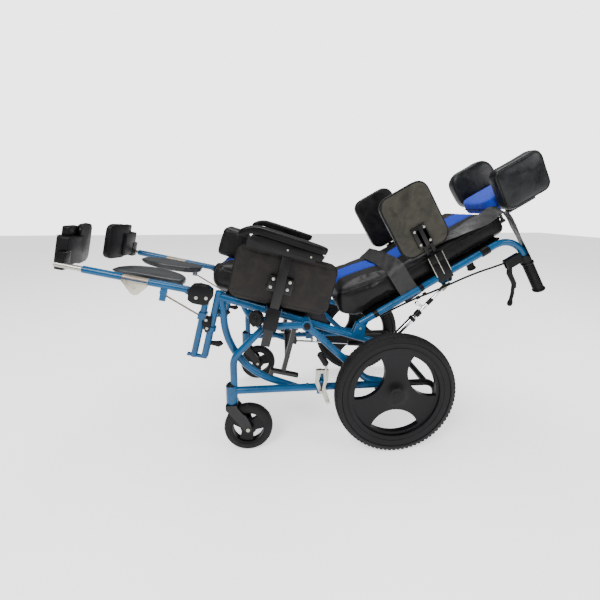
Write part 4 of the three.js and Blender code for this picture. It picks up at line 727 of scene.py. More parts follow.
def button_heads(tree, start):
    """Round headed fasteners, one on each point, turned to the point's own axis."""
    disc = node(tree, "GeometryNodeMeshCylinder", [("Radius", start, "Radius"), ("Depth", start, "Depth")],
                values={"Vertices": 16})
    ball = node(tree, "GeometryNodeMeshUVSphere", [("Radius", start, "Radius")],
                values={"Segments": 16, "Rings": 8})
    flat = node(tree, "GeometryNodeTransform", [("Geometry", ball, "Mesh")],
                values={"Scale": (0.86, 0.86, 0.42)})
    head = node(tree, "GeometryNodeJoinGeometry")
    tree.links.new(disc.outputs["Mesh"], head.inputs["Geometry"])
    tree.links.new(flat.outputs["Geometry"], head.inputs["Geometry"])
    axis = node(tree, "GeometryNodeInputNamedAttribute", data_type="FLOAT_VECTOR", values={"Name": "axis"})
    turn = node(tree, "FunctionNodeAlignRotationToVector", [("Vector", axis, "Attribute")], axis="Z")
    points = node(tree, "GeometryNodeMeshToPoints", [("Mesh", start, "Geometry")])
    return node(tree, "GeometryNodeInstanceOnPoints",
                [("Points", points, "Points"), ("Instance", head, "Geometry"),
                 ("Rotation", turn, "Rotation")])


def tread_blocks(tree, start):
    """Tread blocks, one on each point, turned so that they stand out from the wheel."""
    block = node(tree, "GeometryNodeMeshCube")
    size = node(tree, "ShaderNodeCombineXYZ",
                [("X", start, "Long"), ("Y", start, "Wide"), ("Z", start, "High")])
    tree.links.new(size.outputs["Vector"], block.inputs["Size"])
    axis = node(tree, "GeometryNodeInputNamedAttribute", data_type="FLOAT_VECTOR", values={"Name": "axis"})
    across = node(tree, "GeometryNodeInputNamedAttribute", data_type="FLOAT_VECTOR",
                  values={"Name": "across"})
    stand = node(tree, "FunctionNodeAlignRotationToVector", [("Vector", axis, "Attribute")], axis="Z")
    turn = node(tree, "FunctionNodeAlignRotationToVector",
                [("Rotation", stand, "Rotation"), ("Vector", across, "Attribute")], axis="Y", pivot_axis="Z")
    points = node(tree, "GeometryNodeMeshToPoints", [("Mesh", start, "Geometry")])
    return node(tree, "GeometryNodeInstanceOnPoints",
                [("Points", points, "Points"), ("Instance", block, "Mesh"), ("Rotation", turn, "Rotation")])


TREES = {}
# Half thickness of the sewing thread, in metres
THREAD = 0.0007


def repeats(name, kind, spots, look, body, edges=(), vectors=None, sizes=None):
    """Run one of the repeat trees over points in the row frame and keep the result as a plain mesh."""
    data = bpy.data.meshes.new(name)
    data.from_pydata([tuple(s) for s in spots], list(edges), [])
    for label, values in (vectors or {}).items():
        layer = data.attributes.new(label, "FLOAT_VECTOR", "POINT")
        layer.data.foreach_set("vector", [c for v in values for c in v])
    thing = new_object(name, data)
    modifier = thing.modifiers.new(kind, "NODES")
    modifier.node_group = TREES[kind]
    for item in TREES[kind].interface.items_tree:
        if item.item_type == "SOCKET" and item.in_out == "INPUT":
            if item.name == "Material":
                modifier[item.identifier] = LOOKS[look]
            elif sizes and item.name in sizes:
                modifier[item.identifier] = sizes[item.name]
    apply_modifiers(thing)
    thing.data.materials.clear()
    thing.data.materials.append(LOOKS[look])
    thing.data.shade_smooth()
    thing.data.set_sharp_from_angle(angle=math.radians(50))
    return settle(thing, body)


def stitches(name, thing, place, path, body, closed=True):
    """A row of thread loops along a path over a cushion."""
    spots = [spot for spot, _ in on_surface(thing, place, path, 0.0006)]
    edges = [(i, i + 1) for i in range(len(spots) - 1)] + ([(len(spots) - 1, 0)] if closed else [])
    return repeats(name, "stitch run", spots, "thread", body, edges,
                   sizes={"Spacing": looks().stitch, "Radius": THREAD})


def facing(s, y, *spots):
    """Points and outward axes on the side plane at y, for fasteners."""
    return [((x, s * y, z), (0, s, 0)) for x, z in spots]


def fasteners(name, place, spots, radius, body, look="zinc", depth=0.002):
    """Button heads at local (point, axis) spots, with a radius in millimetres and a depth in metres."""
    turn = place.to_3x3()
    return repeats(name, "button heads", [place @ Vector(p) for p, _ in spots], look, body,
                   vectors={"axis": [(turn @ Vector(a)).normalized() for _, a in spots]},
                   sizes={"Radius": radius * 0.001, "Depth": depth})


# Padded plates
def along_xz(a, b, h):
    """An outline that stands upright and lengthwise, with its thickness across the chair."""
    return Vector((a, h, b))


def along_xy(a, b, h):
    """An outline that lies flat."""
    return Vector((a, b, h))


def along_yz(a, b, h):
    """An outline that stands upright and crosswise."""
    return Vector((h, a, b))


# Shares of the way from a pad's rim to its middle, at which it has a ring of points
RINGS = (0.0, 0.02, 0.06, 0.12, 0.2, 0.32, 0.46, 0.62, 0.8)


def pillow(name, place, outline, low, high, lie, edge, paints, body, stands_for=(), shape=None, seams=(),
           slot=None, fill=0.8, power=2.6, extra=None):
    """A padded plate: its outline lies flat and each face swells from a sewn rim of thickness edge."""
    middle, half = (low + high) / 2, (high - low) / 2
    ca = (min(a for a, _ in outline) + max(a for a, _ in outline)) / 2
    cb = (min(b for _, b in outline) + max(b for _, b in outline)) / 2
    rows, points = [], []
    for side in (1, -1):
        for share in RINGS:
            lift = edge + (1 - edge) * (1 - (1 - share) ** power) ** (1 / power)
            rows.append(range(len(points), len(points) + len(outline)))
            height = middle + side * half * lift
            points += [(ca + (a - ca) * (1 - share), cb + (b - cb) * (1 - share), height)
                       for a, b in outline]
    count = len(RINGS)
    peaks = [len(points), len(points) + 1]
    points += [(ca, cb, middle + half), (ca, cb, middle - half)]
    if shape:
        points = [shape(a, b, h) for a, b, h in points]
    size = len(outline)
    faces = []
    for group in (0, 1):
        start = group * count
        for low_row, high_row in zip(rows[start:start + count - 1], rows[start + 1:start + count]):
            faces += [[low_row[k], low_row[(k + 1) % size], high_row[(k + 1) % size], high_row[k]]
                      for k in range(size)]
        last = rows[start + count - 1]
        faces += [[last[k], last[(k + 1) % size], peaks[group]] for k in range(size)]
    faces += [[rows[0][k], rows[0][(k + 1) % size], rows[count][(k + 1) % size], rows[count][k]]
              for k in range(size)]
    form = Shells()
    form.take([lie(a, b, h) for a, b, h in points], faces)
    made = form.mesh
    data = bpy.data.meshes.new(name)
    made.to_mesh(data)
    made.free()
    thing = new_object(name, data)
    round_off = thing.modifiers.new("round", "SUBSURF")
    round_off.levels = round_off.render_levels = 1
    apply_modifiers(thing)
    data = thing.data
    if seams:
        normals = [n.vector.copy() for n in data.vertex_normals]
        for i, vertex in enumerate(data.vertices):
            pull = max(depth * math.exp(-(distance(vertex.co) / width) ** 2)
                       for distance, depth, width in seams)
            vertex.co -= normals[i] * pull
    data.transform(place)
    data.materials.clear()
    for paint in paints:
        data.materials.append(LOOKS[paint])
    if extra:
        extra(data)
    data.shade_smooth()
    data.update()
    settle(thing, body, stands_for)
    return thing


def smooth_line(points, steps):
    """A smooth line through every point, with some steps between two points."""
    fine = []
    for i in range(len(points) - 1):
        a, b, c, d = points[max(i - 1, 0)], points[i], points[i + 1], points[min(i + 2, len(points) - 1)]
        for share in (k / steps for k in range(steps)):
            fine.append(0.5 * (2 * b + (c - a) * share + (2 * a - 5 * b + 4 * c - d) * share * share
                               + (3 * b - a - 3 * c + d) * share ** 3))
    return fine + [points[-1]]


def ribbon(name, place, stations, width, thick, body, wrinkle=0.0):
    """A flat strap through stations of (point, direction across); it follows them with its full width."""
    spots = [Vector(p) for p, _ in stations]
    sides = [Vector(a).normalized() for _, a in stations]
    steps = 6
    fine_spots = smooth_line(spots, steps)
    fine_sides = [a.lerp(b, k / steps).normalized() for a, b in zip(sides, sides[1:]) for k in range(steps)]
    fine_sides.append(sides[-1])
    cols = 8
    last = len(fine_spots) - 1
    points, along, run = [], [], 0.0
    for i, (spot, side) in enumerate(zip(fine_spots, fine_sides)):
        ahead = (fine_spots[min(i + 1, last)] - fine_spots[max(i - 1, 0)]).normalized()
        side = (side - ahead * side.dot(ahead)).normalized()
        out = ahead.cross(side)
        if i:
            run += (spot - fine_spots[i - 1]).length
        along.append(run)
        for face in (1, -1):
            for c in range(cols + 1):
                s = c / cols * 2 - 1
                edge = thick / 2 * (1 - 0.55 * s ** 8)
                wave = wrinkle * math.sin(run / 17 + 2.1 * s) * math.cos(s * 2.4 + run / 31)
                points.append(spot + side * (s * width / 2) + out * (face * edge + wave))
    rowsize = 2 * (cols + 1)
    faces, marks = [], []

    def quad(a, b, c, d, uv):
        faces.append([a, b, c, d])
        marks.append(uv)

    for i in range(last):
        for c in range(cols):
            for side_start, flip in ((0, False), (cols + 1, True)):
                a = i * rowsize + side_start + c
                ring = [a, a + 1, a + 1 + rowsize, a + rowsize]
                uv = [(along[i], c), (along[i], c + 1), (along[i + 1], c + 1), (along[i + 1], c)]
                if flip:
                    ring, uv = ring[::-1], uv[::-1]
                quad(*ring, uv)
        for c in (0, cols):
            a, b = i * rowsize + c, i * rowsize + cols + 1 + c
            ring = [a, b, b + rowsize, a + rowsize]
            uv = [(along[i], c), (along[i], c), (along[i + 1], c), (along[i + 1], c)]
            if c == 0:
                ring, uv = ring[::-1], uv[::-1]
            quad(*ring, uv)
    for i in (0, last):
        for c in range(cols):
            a, b = i * rowsize + c, i * rowsize + cols + 1 + c
            ring = [a, b, b + 1, a + 1]
            if i:
                ring = ring[::-1]
            quad(*ring, [(along[i], c)] * 4)
    data = bpy.data.meshes.new(name)
    data.from_pydata([place @ p for p in points], [], faces)
    layer = data.uv_layers.new(name="strap")
    layer.data.foreach_set("uv", [v for uv in marks for a, c in uv
                                  for v in (a * 0.001, c * width * 0.001 / cols)])
    form = bmesh.new()
    form.from_mesh(data)
    bmesh.ops.recalc_face_normals(form, faces=form.faces)
    form.to_mesh(data)
    form.free()
    data.materials.append(LOOKS["webbing"])
    data.shade_smooth()
    data.set_sharp_from_angle(angle=math.radians(60))
    thing = new_object(name, data)
    return settle(thing, body)


# Settings
class ChairLooks(bpy.types.PropertyGroup):
    """Sizes and colours that a designer may change."""
    enamel: bpy.props.FloatVectorProperty(name="Enamel", description="Colour of the painted tubes", size=3,
                                          min=0, max=1, subtype="COLOR", default=tone("#00426a")[:3])
    fabric: bpy.props.FloatVectorProperty(name="Fabric", description="Colour of the knitted band", size=3,
                                          min=0, max=1, subtype="COLOR", default=tone("#0a2f9c")[:3])
    band: bpy.props.FloatProperty(name="Band", description="Half width of the knitted band", default=0.06,
                                  min=0.02, max=0.12, unit="LENGTH")
    piping: bpy.props.FloatProperty(name="Piping", description="Radius of the sewn cord on the cushions",
                                    default=0.0022, min=0.001, max=0.005, unit="LENGTH")
    belt: bpy.props.FloatProperty(name="Belt", description="Width of the belt webbing", default=0.05,
                                  min=0.025, max=0.06, unit="LENGTH")
    stitch: bpy.props.FloatProperty(name="Stitch", description="Distance between two stitches",
                                    default=0.006, min=0.003, max=0.02, unit="LENGTH")
    puff: bpy.props.FloatProperty(name="Puff", description="Air pressure that swells the cushions",
                                  default=4.0, min=0.0, max=8.0)
    wall: bpy.props.FloatProperty(name="Skin",
                                  description="Thickness of the round tube skins over the frame",
                                  default=0.0004, min=0.0002, max=0.001, unit="LENGTH")


def looks():
    """The settings of this scene."""
    return bpy.context.scene.chair_looks


def over(radius):
    """The radius of a painted skin over a bare tube."""
    return radius + looks().wall * 1000


def paint_node(name, look):
    """Give one CAD node its material."""
    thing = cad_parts[name]
    for spot in thing.material_slots:
        spot.material = LOOKS[look]
    if not thing.material_slots:
        thing.data.materials.append(LOOKS[look])


class CHAIR_OT_materials(bpy.types.Operator):
    """Make the materials and repeat trees and paint the frame with them"""
    bl_idname = "chair.materials"
    bl_label = "Materials"

    def execute(self, context):
        s = looks()
        LOOKS["enamel"] = enamel(s.enamel)
        LOOKS["steel"] = powder_black()
        LOOKS["nylon"] = moulded_black()
        LOOKS["zinc"] = bright_metal("passivated zinc on steel", "#aeaba1", 0.34, 0.2)
        LOOKS["chrome"] = bright_metal("hard chrome on steel", "#d9dbdd", 0.12, 0.15)
        LOOKS["raw"] = bright_metal("drawn tube left bare", "#7f766b", 0.4, 0.1)
        LOOKS["nickel"] = bright_metal("satin nickel on steel", "#bfb9ab", 0.4, 0.4)
        LOOKS["rubber"] = tyre_rubber()
        LOOKS["foam"] = foam_skin()
        LOOKS["hide"] = leatherette("black leatherette", "#060606", "#121111")
        LOOKS["panel hide"] = leatherette("brown black leatherette", "#0c0a09", "#1b1714")
        LOOKS["slate hide"] = leatherette("slate leatherette", "#0b0c0d", "#1b1d20", (0.26, 0.44), 0.25)
        # The black leatherette is lightened to grey all over as painted sheen, standing in for the bright
        # reflection on the calf pads' tops
        LOOKS["calf hide"] = leatherette("soft grey black leatherette", "#17191b", "#2b2e30", (0.28, 0.4),
                                         0.2, 0.5)
        LOOKS["olive hide"] = leatherette("olive grey leatherette", "#25241f", "#35332c", (0.4, 0.6), 0.2)
        LOOKS["cover"] = striped_cover(s.fabric, s.band)
        LOOKS["knit"] = spacer_knit(s.fabric)
        LOOKS["webbing"] = webbing()
        LOOKS["thread"] = stitch_thread()
        LOOKS["board"] = seat_board()
        LOOKS["sheath"] = moulded_black("extruded cable sheath", "#060606", "#0c0c0d", (0.3, 0.45))
        TREES["stitch run"] = repeat_tree("stitch run", {"Spacing": s.stitch, "Radius": THREAD}, stitch_run)
        TREES["button heads"] = repeat_tree("button heads", {"Radius": 0.004, "Depth": 0.0015}, button_heads)
        TREES["tread blocks"] = repeat_tree("tread blocks", {"Long": 0.012, "Wide": 0.01, "High": 0.003},
                                            tread_blocks)
        plain = {"tilt_shaft": "steel", "anti_tip_frame": "steel", "seat_pan": "board",
                 "back_panel": "nylon", "headrest_post": "steel", "tilt_spring_body": "steel",
                 "tilt_spring_rod": "chrome"}
        for name, look in plain.items():
            paint_node(name, look)
        paired = {"base_frame": "enamel", "wheel_lock": "zinc", "rear_rim": "nylon", "rear_tyre": "rubber",
                  "caster_fork": "steel", "caster_wheel": "nylon", "seat_frame": "enamel",
                  "armrest_post": "steel", "legrest_hanger": "enamel", "legrest_tube": "enamel",
                  "legrest_rod": "raw", "foot_tube": "zinc", "footplate": "nylon", "back_tube": "enamel",
                  "handle_grip": "foam", "brake_lever": "nylon", "brake_cable": "sheath",
                  "recline_cylinder": "chrome", "recline_rod": "chrome"}
        for part, look in paired.items():
            for side, _ in SIDES:
                paint_node(f"{part}_{side}", look)
        return {"FINISHED"}


# Frame tubes
def base_tubes(side, s):
    """The side frame, its lower rail and the caster's swivel housing."""
    base = Shells()
    y = s * BASE
    base.pipe([(-518, y, 204), (-518, y, 317), (-415, y, 420), (-283, y, 420), (-86, y, 228),
               (26, y, 205.5)], [60, 45, 30, 60], over(TUBE))
    base.rod((-529, y, LOWER_RAIL), (30.4, y, LOWER_RAIL), over(TUBE), edge=1.5)
    base.rod((-526, y, 165.8), (-526, y, 226.4), 18.6, sides=36, edge=2.5)
    base.rod((-283, y - 11.2, 420), (-283, y + 11.2, 420), 17.6, sides=32, edge=1.2)
    base.piece(f"base_tubes_{side}", ROW, ["enamel"], "base")


def seat_tubes(side, s):
    """The seat rail with its curved guide for the tilt, and the tilt bearing."""
    rail = Shells()
    y = s * RAIL
    rise = math.tan(math.radians(SEAT_SLOPE))
    rail.rod((-296, y, 296 * rise), (257, y, -257 * rise), over(TUBE), edge=1.5)
    rail.rod((-294, y, -184), (-294, y, 38.6), over(TUBE), edge=1.5)
    # The guide is an arc in front of the shaft that runs on into a straight end
    reach, first, last = 241, 190, 263
    arc = [(-281, y, 14)]
    for k in range(25):
        angle = math.radians(first + (last - first) * k / 24)
        arc.append((-30 + reach * math.cos(angle), y, 20 + reach * math.sin(angle)))
    end = math.radians(last)
    arc.append((arc[-1][0] - 95.5 * math.sin(end), y, arc[-1][2] + 95.5 * math.cos(end)))
    arc = [Vector(p) for p in arc]
    rail.sweep(arc, [over(TUBE)] * len(arc))
    rail.rod((0, s * 176.6, 0), (0, s * 204.2, 0), 15.6, sides=32, edge=1)
    rail.piece(f"seat_tubes_{side}", TILT, ["enamel"], "seat")


def back_tube(side, s):
    """The back tube, bent at its top into the push handle."""
    y = s * RAIL
    back = Shells()
    back.pipe([(-13, y, 8), (-13, y, HANDLE), (70, y, HANDLE)], [75], over(TUBE))
    back.piece(f"back_tubes_{side}", BACK, ["enamel"], "back")


def legrest_tubes(side, s):
    """The hanger's post and the legrest's tubes with their bare sleeve and lugs."""
    hook = Shells()
    hook.rod((-328, 0, -191.6), (-328, 0, -8.6), over(THIN_TUBE), edge=1.5)
    hook.rod((-294, 0, -95.4), (-294, 0, -79.6), 16.4, sides=32, edge=1.2)
    hook.piece(f"hanger_tube_{side}", hang(s), ["enamel"], f"legrest_hanger_{side}")
    out = Shells()
    out.rod((-27, 0, LEG_TUBE), (-147.4, 0, LEG_TUBE), over(TUBE), edge=1)
    out.rod((-225.6, 0, LEG_TUBE), (-343.4, 0, LEG_TUBE), over(TUBE), edge=1.5)
    out.piece(f"legrest_skin_{side}", leg(s), ["enamel"], f"legrest_{side}")
    bare = Shells()
    bare.rod((-147, 0, LEG_TUBE), (-226, 0, LEG_TUBE), 10.9, edge=0.5)
    bare.piece(f"legrest_sleeve_{side}", leg(s), ["raw"], f"legrest_{side}")
    gusset = Shells()
    gusset.slab([(-146, 13), (-146, 3), (-170, -27), (-180, -31), (-192, -27), (-226, 8), (-226, 13)],
                *span(s, 9.4, 14.2), soften=1.2)
    gusset.piece(f"legrest_gusset_{side}", leg(s), ["nickel"], f"legrest_{side}")
    fasteners(f"legrest_gusset_bolt_{side}", leg(s), facing(s, 14.2, (-184, -8)), 4.5, f"legrest_{side}")
    loop = Shells()
    loop.rod((-100, -7, -8), (-100, 7, -8), 10.5, sides=32, edge=1)
    loop.brick(-110, -90, -5.5, 5.5, -8, 12, soften=1.5)
    loop.piece(f"legrest_lug_{side}", leg(s), ["enamel"], f"legrest_{side}")
    short = PUSHED_IN[side]
    inner = Shells()
    inner.rod((-258 + short, 0, LEG_TUBE), (-424.4 + short, 0, LEG_TUBE), 8.6, edge=1)
    inner.piece(f"foot_skin_{side}", leg(s), ["zinc"], f"foot_tube_{side}")


def anti_tip_tube(side, s):
    """The tube behind the axle that stops the chair from tipping."""
    tail = Shells()
    y = s * BASE
    tail.pipe([(30, y, LOWER_RAIL), (158, y, LOWER_RAIL), (158, y, 36)], [40], over(THIN_TUBE))
    tail.rod((158, y, 35.6), (158, y, 66.4), 14.5, sides=28, edge=2)
    tail.piece(f"anti_tip_skin_{side}", ROW, ["steel"], "base")


class CHAIR_OT_frame(bpy.types.Operator):
    """Lay round, painted skins over the frame tubes"""
    bl_idname = "chair.frame"
    bl_label = "Frame tubes"

    def execute(self, context):
        for side, s in SIDES:
            base_tubes(side, s)
            seat_tubes(side, s)
            back_tube(side, s)
            legrest_tubes(side, s)
            anti_tip_tube(side, s)
        bar = Shells()
        bar.rod((121, -BASE, LOWER_RAIL), (121, BASE, LOWER_RAIL), over(THIN_TUBE))
        bar.piece("anti_tip_bar", ROW, ["steel"], "base")
        post = Shells()
        post.rod((3, 0, 440), (3, 0, 712.5), 7.4, edge=1)
        post.piece("headrest_rod", BACK, ["steel"], "headrest")
        return {"FINISHED"}


# Wheels
def window_outline(outer, inner, half_angle, degrees):
    """A wheel window: an arc of the rim outside and a rounder arc, bowed away from the hub, inside."""
    reach = math.radians(half_angle)
    x, z = outer * math.cos(reach), outer * math.sin(reach)
    middle = (x * x + z * z - inner * inner) / (2 * (x - inner))
    sweep = math.atan2(z, middle - x)
    arc = [(outer * math.cos(a), outer * math.sin(a)) for a in (reach * (k / 12 - 1) for k in range(25))]
    arc += [(middle + (middle - inner) * math.cos(a), (middle - inner) * math.sin(a))
            for a in (math.pi - sweep + 2 * sweep * k / 24 for k in range(1, 24))]
    turn = math.radians(degrees)
    return [(x * math.cos(turn) - z * math.sin(turn), x * math.sin(turn) + z * math.cos(turn))
            for x, z in arc]


def rear_tyre(side, s):
    """The tyre with three rows of tread blocks."""
    centre = (0, s * WHEEL, AXLE_HEIGHT)
    tyre = Shells()
    ring = [(175.7, -13.2)]
    for k in range(13):
        angle = math.radians(-90 + 15 * k)
        ring.append((177.6 + 21.2 * math.cos(angle), 21.8 * math.sin(angle)))
    ring.append((175.7, 13.2))
    tyre.lathe(ring, centre, 128)
    tyre.piece(f"tyre_cover_{side}", ROW, ["rubber"], f"rear_wheel_{side}",
               stands_for=[f"rear_tyre_{side}"])
    blocks = 84
    spots, out, across = [], [], []
    for row, lean in ((-11.5, 22), (0, 0), (11.5, -22)):
        for k in range(blocks):
            angle = 2 * math.pi * (k + (0.5 if row == 0 else 0)) / blocks
            reach = 197.7 if row == 0 else 195.6
            tip = Vector((math.cos(angle), row / 34, math.sin(angle))).normalized()
            spots.append(ROW @ Vector((reach * math.cos(angle), centre[1] + row,
                                       AXLE_HEIGHT + reach * math.sin(angle))))
            out.append(tip)
            turn = math.radians(lean)
            across.append(Vector((-math.sin(angle) * math.sin(turn), math.cos(turn),
                                  math.cos(angle) * math.sin(turn))))
    repeats(f"tyre_tread_{side}", "tread blocks", spots, "rubber", f"rear_wheel_{side}",
            vectors={"axis": out, "across": across}, sizes={"Long": 0.0095, "Wide": 0.0092, "High": 0.0022})


def rear_rim(side, s):
    """The moulded rim with three windows and a bead."""
    centre = (0, s * WHEEL, AXLE_HEIGHT)
    rim = Shells()
    dish = [(0, s * 19.6), (11, s * 19.6), (12.6, s * 18.2), (23, s * 18), (26.6, s * 15.6), (36, s * 10.6),
            (48, s * 8), (138, s * 8), (142, s * 10), (143.4, s * 16.4), (150, s * 18.4), (168, s * 18.8),
            (175.6, s * 19.6), (175.6, -s * 19.6), (168, -s * 18.8), (150, -s * 18.4), (143.4, -s * 16.4),
            (142, -s * 8), (46, -s * 8), (38, -s * 12), (32, -s * 23.2), (0, -s * 23.2)]
    rim.lathe(dish, centre, 128)
    wheel = rim.piece(f"rim_cover_{side}", ROW, ["nylon"], f"rear_wheel_{side}",
                      [f"rear_rim_{side}"])
    cutter = Shells()
    for degrees in (30, 150, 270):
        window = window_outline(134.6, 55.4, 36, degrees)
        cutter.slab([(x, AXLE_HEIGHT + z) for x, z in window], centre[1] - 40, centre[1] + 40, soften=0)
    knife = cutter.piece("window_cutter", ROW, [], f"rear_wheel_{side}")
    hole = wheel.modifiers.new("windows", "BOOLEAN")
    hole.operation, hole.solver, hole.object = "DIFFERENCE", "EXACT", knife
    apply_modifiers(wheel)
    bpy.data.objects.remove(knife)
    wheel.data.shade_smooth()
    wheel.data.set_sharp_from_angle(angle=math.radians(28))
    frill = Shells()
    for face in (1, -1):
        frill.lathe([(156, face * 18.2), (157, face * 20), (159, face * 20), (160, face * 18.2)], centre,
                    128)
    frill.piece(f"rim_bead_{side}", ROW, ["nylon"], f"rear_wheel_{side}")


def caster(side, s):
    """The caster's tread, core and bolts, and the cap of its swivel."""
    hub = (-475, s * BASE, CASTER_HEIGHT)
    tread = Shells()
    band = [(57.6, -14.2)]
    for k in range(9):
        angle = math.radians(-90 + 22.5 * k)
        band.append((70.4 + 8.5 * math.cos(angle), 14.2 * math.sin(angle)))
    band.append((57.6, 14.2))
    tread.lathe(band, hub, 96)
    tread.piece(f"caster_tread_{side}", ROW, ["rubber"], f"caster_wheel_{side}")
    core = Shells()
    for face in (1, -1):
        core.lathe([(8, face * 7), (16.4, face * 7), (16.4, face * 16.2), (8, face * 16.2)], hub, 48)
        core.lathe([(50.6, face * 6.8), (50.6, face * 11), (57.5, face * 13), (57.5, face * 6.8)], hub, 96)
    core.piece(f"caster_core_{side}", ROW, ["nylon"], f"caster_wheel_{side}")
    heads = [((hub[0], hub[1] + face * 22.4, hub[2]), (0, face, 0)) for face in (1, -1)]
    fasteners(f"caster_bolts_{side}", ROW, heads, 6, f"caster_fork_{side}", depth=0.003)
    cap = Shells()
    cap.rod((-526, s * BASE, 225.8), (-526, s * BASE, 232), 17, 14, sides=36, edge=2)
    cap.piece(f"swivel_cap_{side}", ROW, ["nylon"], "base")


class CHAIR_OT_wheels(bpy.types.Operator):
    """Dress the rear wheels and the casters"""
    bl_idname = "chair.wheels"
    bl_label = "Wheels"

    def execute(self, context):
        for side, s in SIDES:
            rear_tyre(side, s)
            rear_rim(side, s)
            caster(side, s)
        return {"FINISHED"}


# Seat
def dome(a, b):
    """How much a face bulges: full in its middle and nothing at its edges."""
    return max(0, 1 - a * a) * max(0, 1 - b * b)


def away(axis, at):
    """Distance of a local point from a plane pair at plus and minus at."""
    return lambda p: abs(abs(p[axis]) - at)


class CHAIR_OT_seat(bpy.types.Operator):
    """Make the seat cushion and the pommel"""
    bl_idname = "chair.seat"
    bl_label = "Seat"

    def execute(self, context):
        s = looks()
        half = s.band * 1000

        def cushion(p, u):
            if u[2] > 0.2:
                p.z += 6 * dome(u[0], u[1])
            if abs(u[0]) < 0.95 and u[2] > 0:
                p.y -= math.copysign(5 * (1 - u[0] ** 2) * u[1] ** 2, u[1])
            nose = max(0, (-u[0] - 0.7) / 0.3)
            if u[2] < 0:
                p.x += nose * 20 * u[2] ** 2
            else:
                p.z -= nose * nose * 8

        top = soft_piece("seat_cushion_cover", SLOPE, (-338, -175.6, 11.6), (22, 175.6, 97.6), 24,
                         ["cover"], "seat", ["seat_cushion"], cushion, pressure=s.puff, cap=0.006,
                         seams=[(away(1, half), 2.4, 3.2), (lambda p: abs(p.z - 84), 1.6, 2.6)])
        line = [(x, y, 84) for x, y in rounded_path(-336, 20, -174, 174, 26)]
        welt("seat_cushion_piping", top, SLOPE, line, s.piping * 1000, "seat")
        for side, k in SIDES:
            path = [(x, k * (half - SEAM_INSET), 120) for x in range(-326, 12, 6)]
            stitches(f"seat_band_stitches_{side}", top, SLOPE, path, "seat", closed=False)

        def block(p, u):
            p.y += math.copysign(4 * dome(u[0], u[2]) * abs(u[1]), u[1])
            p.x -= 3 * dome(u[1], u[2]) * (1 if u[0] < 0 else -1)

        soft_piece("pommel_cover", SLOPE, (-360, -50, 100.1), (-268, 50, 206), 14, ["hide"], "seat",
                   ["pommel"], block, step=9, pressure=s.puff, cap=0.004, voxel=0.005,
                   seams=[(lambda p: abs(p.z - 197), 1.5, 2.4), (away(1, 43), 1.2, 2.4)],
                   shrink=1.5)
        return {"FINISHED"}


# Armrests
def arm_pad(side, s):
    """The foam arm pad, drooping at its front."""

    def nose(a, b, h):
        dip = max(0, (62 - (a + 288)) / 62)
        return a, b, h - 27 * dip * dip + (2.5 * (1 - ((b - s * 229) / 34) ** 2) if h > 245 else 0)

    outline = rounded_path(-288, -16, *span(s, 195, 263), 24)
    pillow(f"arm_pad_{side}", SLOPE, outline, 231.4, 256, along_xy, 0.55, ["foam"], f"armrest_{side}",
           [f"armrest_pad_{side}"], nose, seams=[(lambda p: abs(p.z - 240) if p.x > -226 else 99, 1.4, 1.8)],
           slot="soft_grip", power=3.4, fill=1.0)


def side_panel(side, s):
    """The padded side panel with its seam, piping and rivets."""
    panel = rounded_path(-266, 52, 41, 208, 30)
    border = rounded_path(-254, 40, 53, 196, 24)
    cover = pillow(f"side_panel_cover_{side}", TILT, panel, *span(s, 204, 222),
                   along_xz, 0.5, ["panel hide"], f"armrest_{side}", [f"side_panel_{side}"],
                   seams=[(lambda p: min(abs(p.x + 254), abs(p.x - 40), abs(p.z - 53), abs(p.z - 196))
                           if -256 < p.x < 42 and 51 < p.z < 198 else 99, 1.2, 2.2)],
                   slot="leatherette_panel", power=4.5)
    stitches(f"side_panel_stitches_{side}", cover, TILT, [(x, s * 230, z) for x, z in border],
             f"armrest_{side}")
    rim = [(x, s * 213, z) for x, z in panel]
    welt(f"side_panel_piping_{side}", cover, TILT, rim, looks().piping * 900, f"armrest_{side}")
    heads = facing(s, 240.6, (-139, 127), (-142, 101), (-87, 127), (-90, 103))
    fasteners(f"armrest_rivets_{side}", TILT, heads, 4.8, f"armrest_{side}")


def armrest_post(side, s):
    """The armrest's flat post and the sleeve that it slides in."""
    post = Shells()
    y0, y1 = span(s, 232.6, 247.4)
    post.brick(-129.4, -100.6, y0, y1, -84.4, 205, soften=2)
    post.slab([(-153, 89), (-75, 87), (-76, 136), (-150, 137)], *span(s, 222, 240), soften=1.2)
    post.slab([(-131, 92), (-99, 92), (-99, 133), (-131, 133)], *span(s, 225, 240), soften=1.2)
    post.piece(f"armrest_post_cover_{side}", TILT, ["steel"], f"armrest_{side}")
    sleeve = Shells()
    y0, y1 = span(s, 228.4, 251.6)
    sleeve.brick(-137.6, -92.4, y0, y1, -30.8, 37.8, soften=2.4)
    sleeve.brick(-141, -89, *span(s, 197, 230), 16.2, 37.8, soften=2)
    sleeve.piece(f"armrest_sleeve_cover_{side}", TILT, ["nylon"], "seat")


def arm_pad_carrier(side, s):
    """The moulded channel under the arm pad."""
    under = Shells()
    outline = [(-250, 212), (-238, 226), (-222, 231), (-22, 231), (-26, 212), (-60, 207), (-200, 207)]
    for y in (215, 251):
        under.slab(outline, *span(s, y, y + 4), soften=1)
    under.piece(f"arm_pad_carrier_{side}", SLOPE, ["nylon"], f"armrest_{side}")
    heads = facing(s, 255, (-134, 215), (-62, 216))
    fasteners(f"arm_pad_bolts_{side}", SLOPE, heads, 3, f"armrest_{side}")


class CHAIR_OT_arms(bpy.types.Operator):
    """Make the arm pads, the side panels and their fittings"""
    bl_idname = "chair.arms"
    bl_label = "Armrests"

    def execute(self, context):
        for side, s in SIDES:
            arm_pad(side, s)
            side_panel(side, s)
            armrest_post(side, s)
            arm_pad_carrier(side, s)
        return {"FINISHED"}


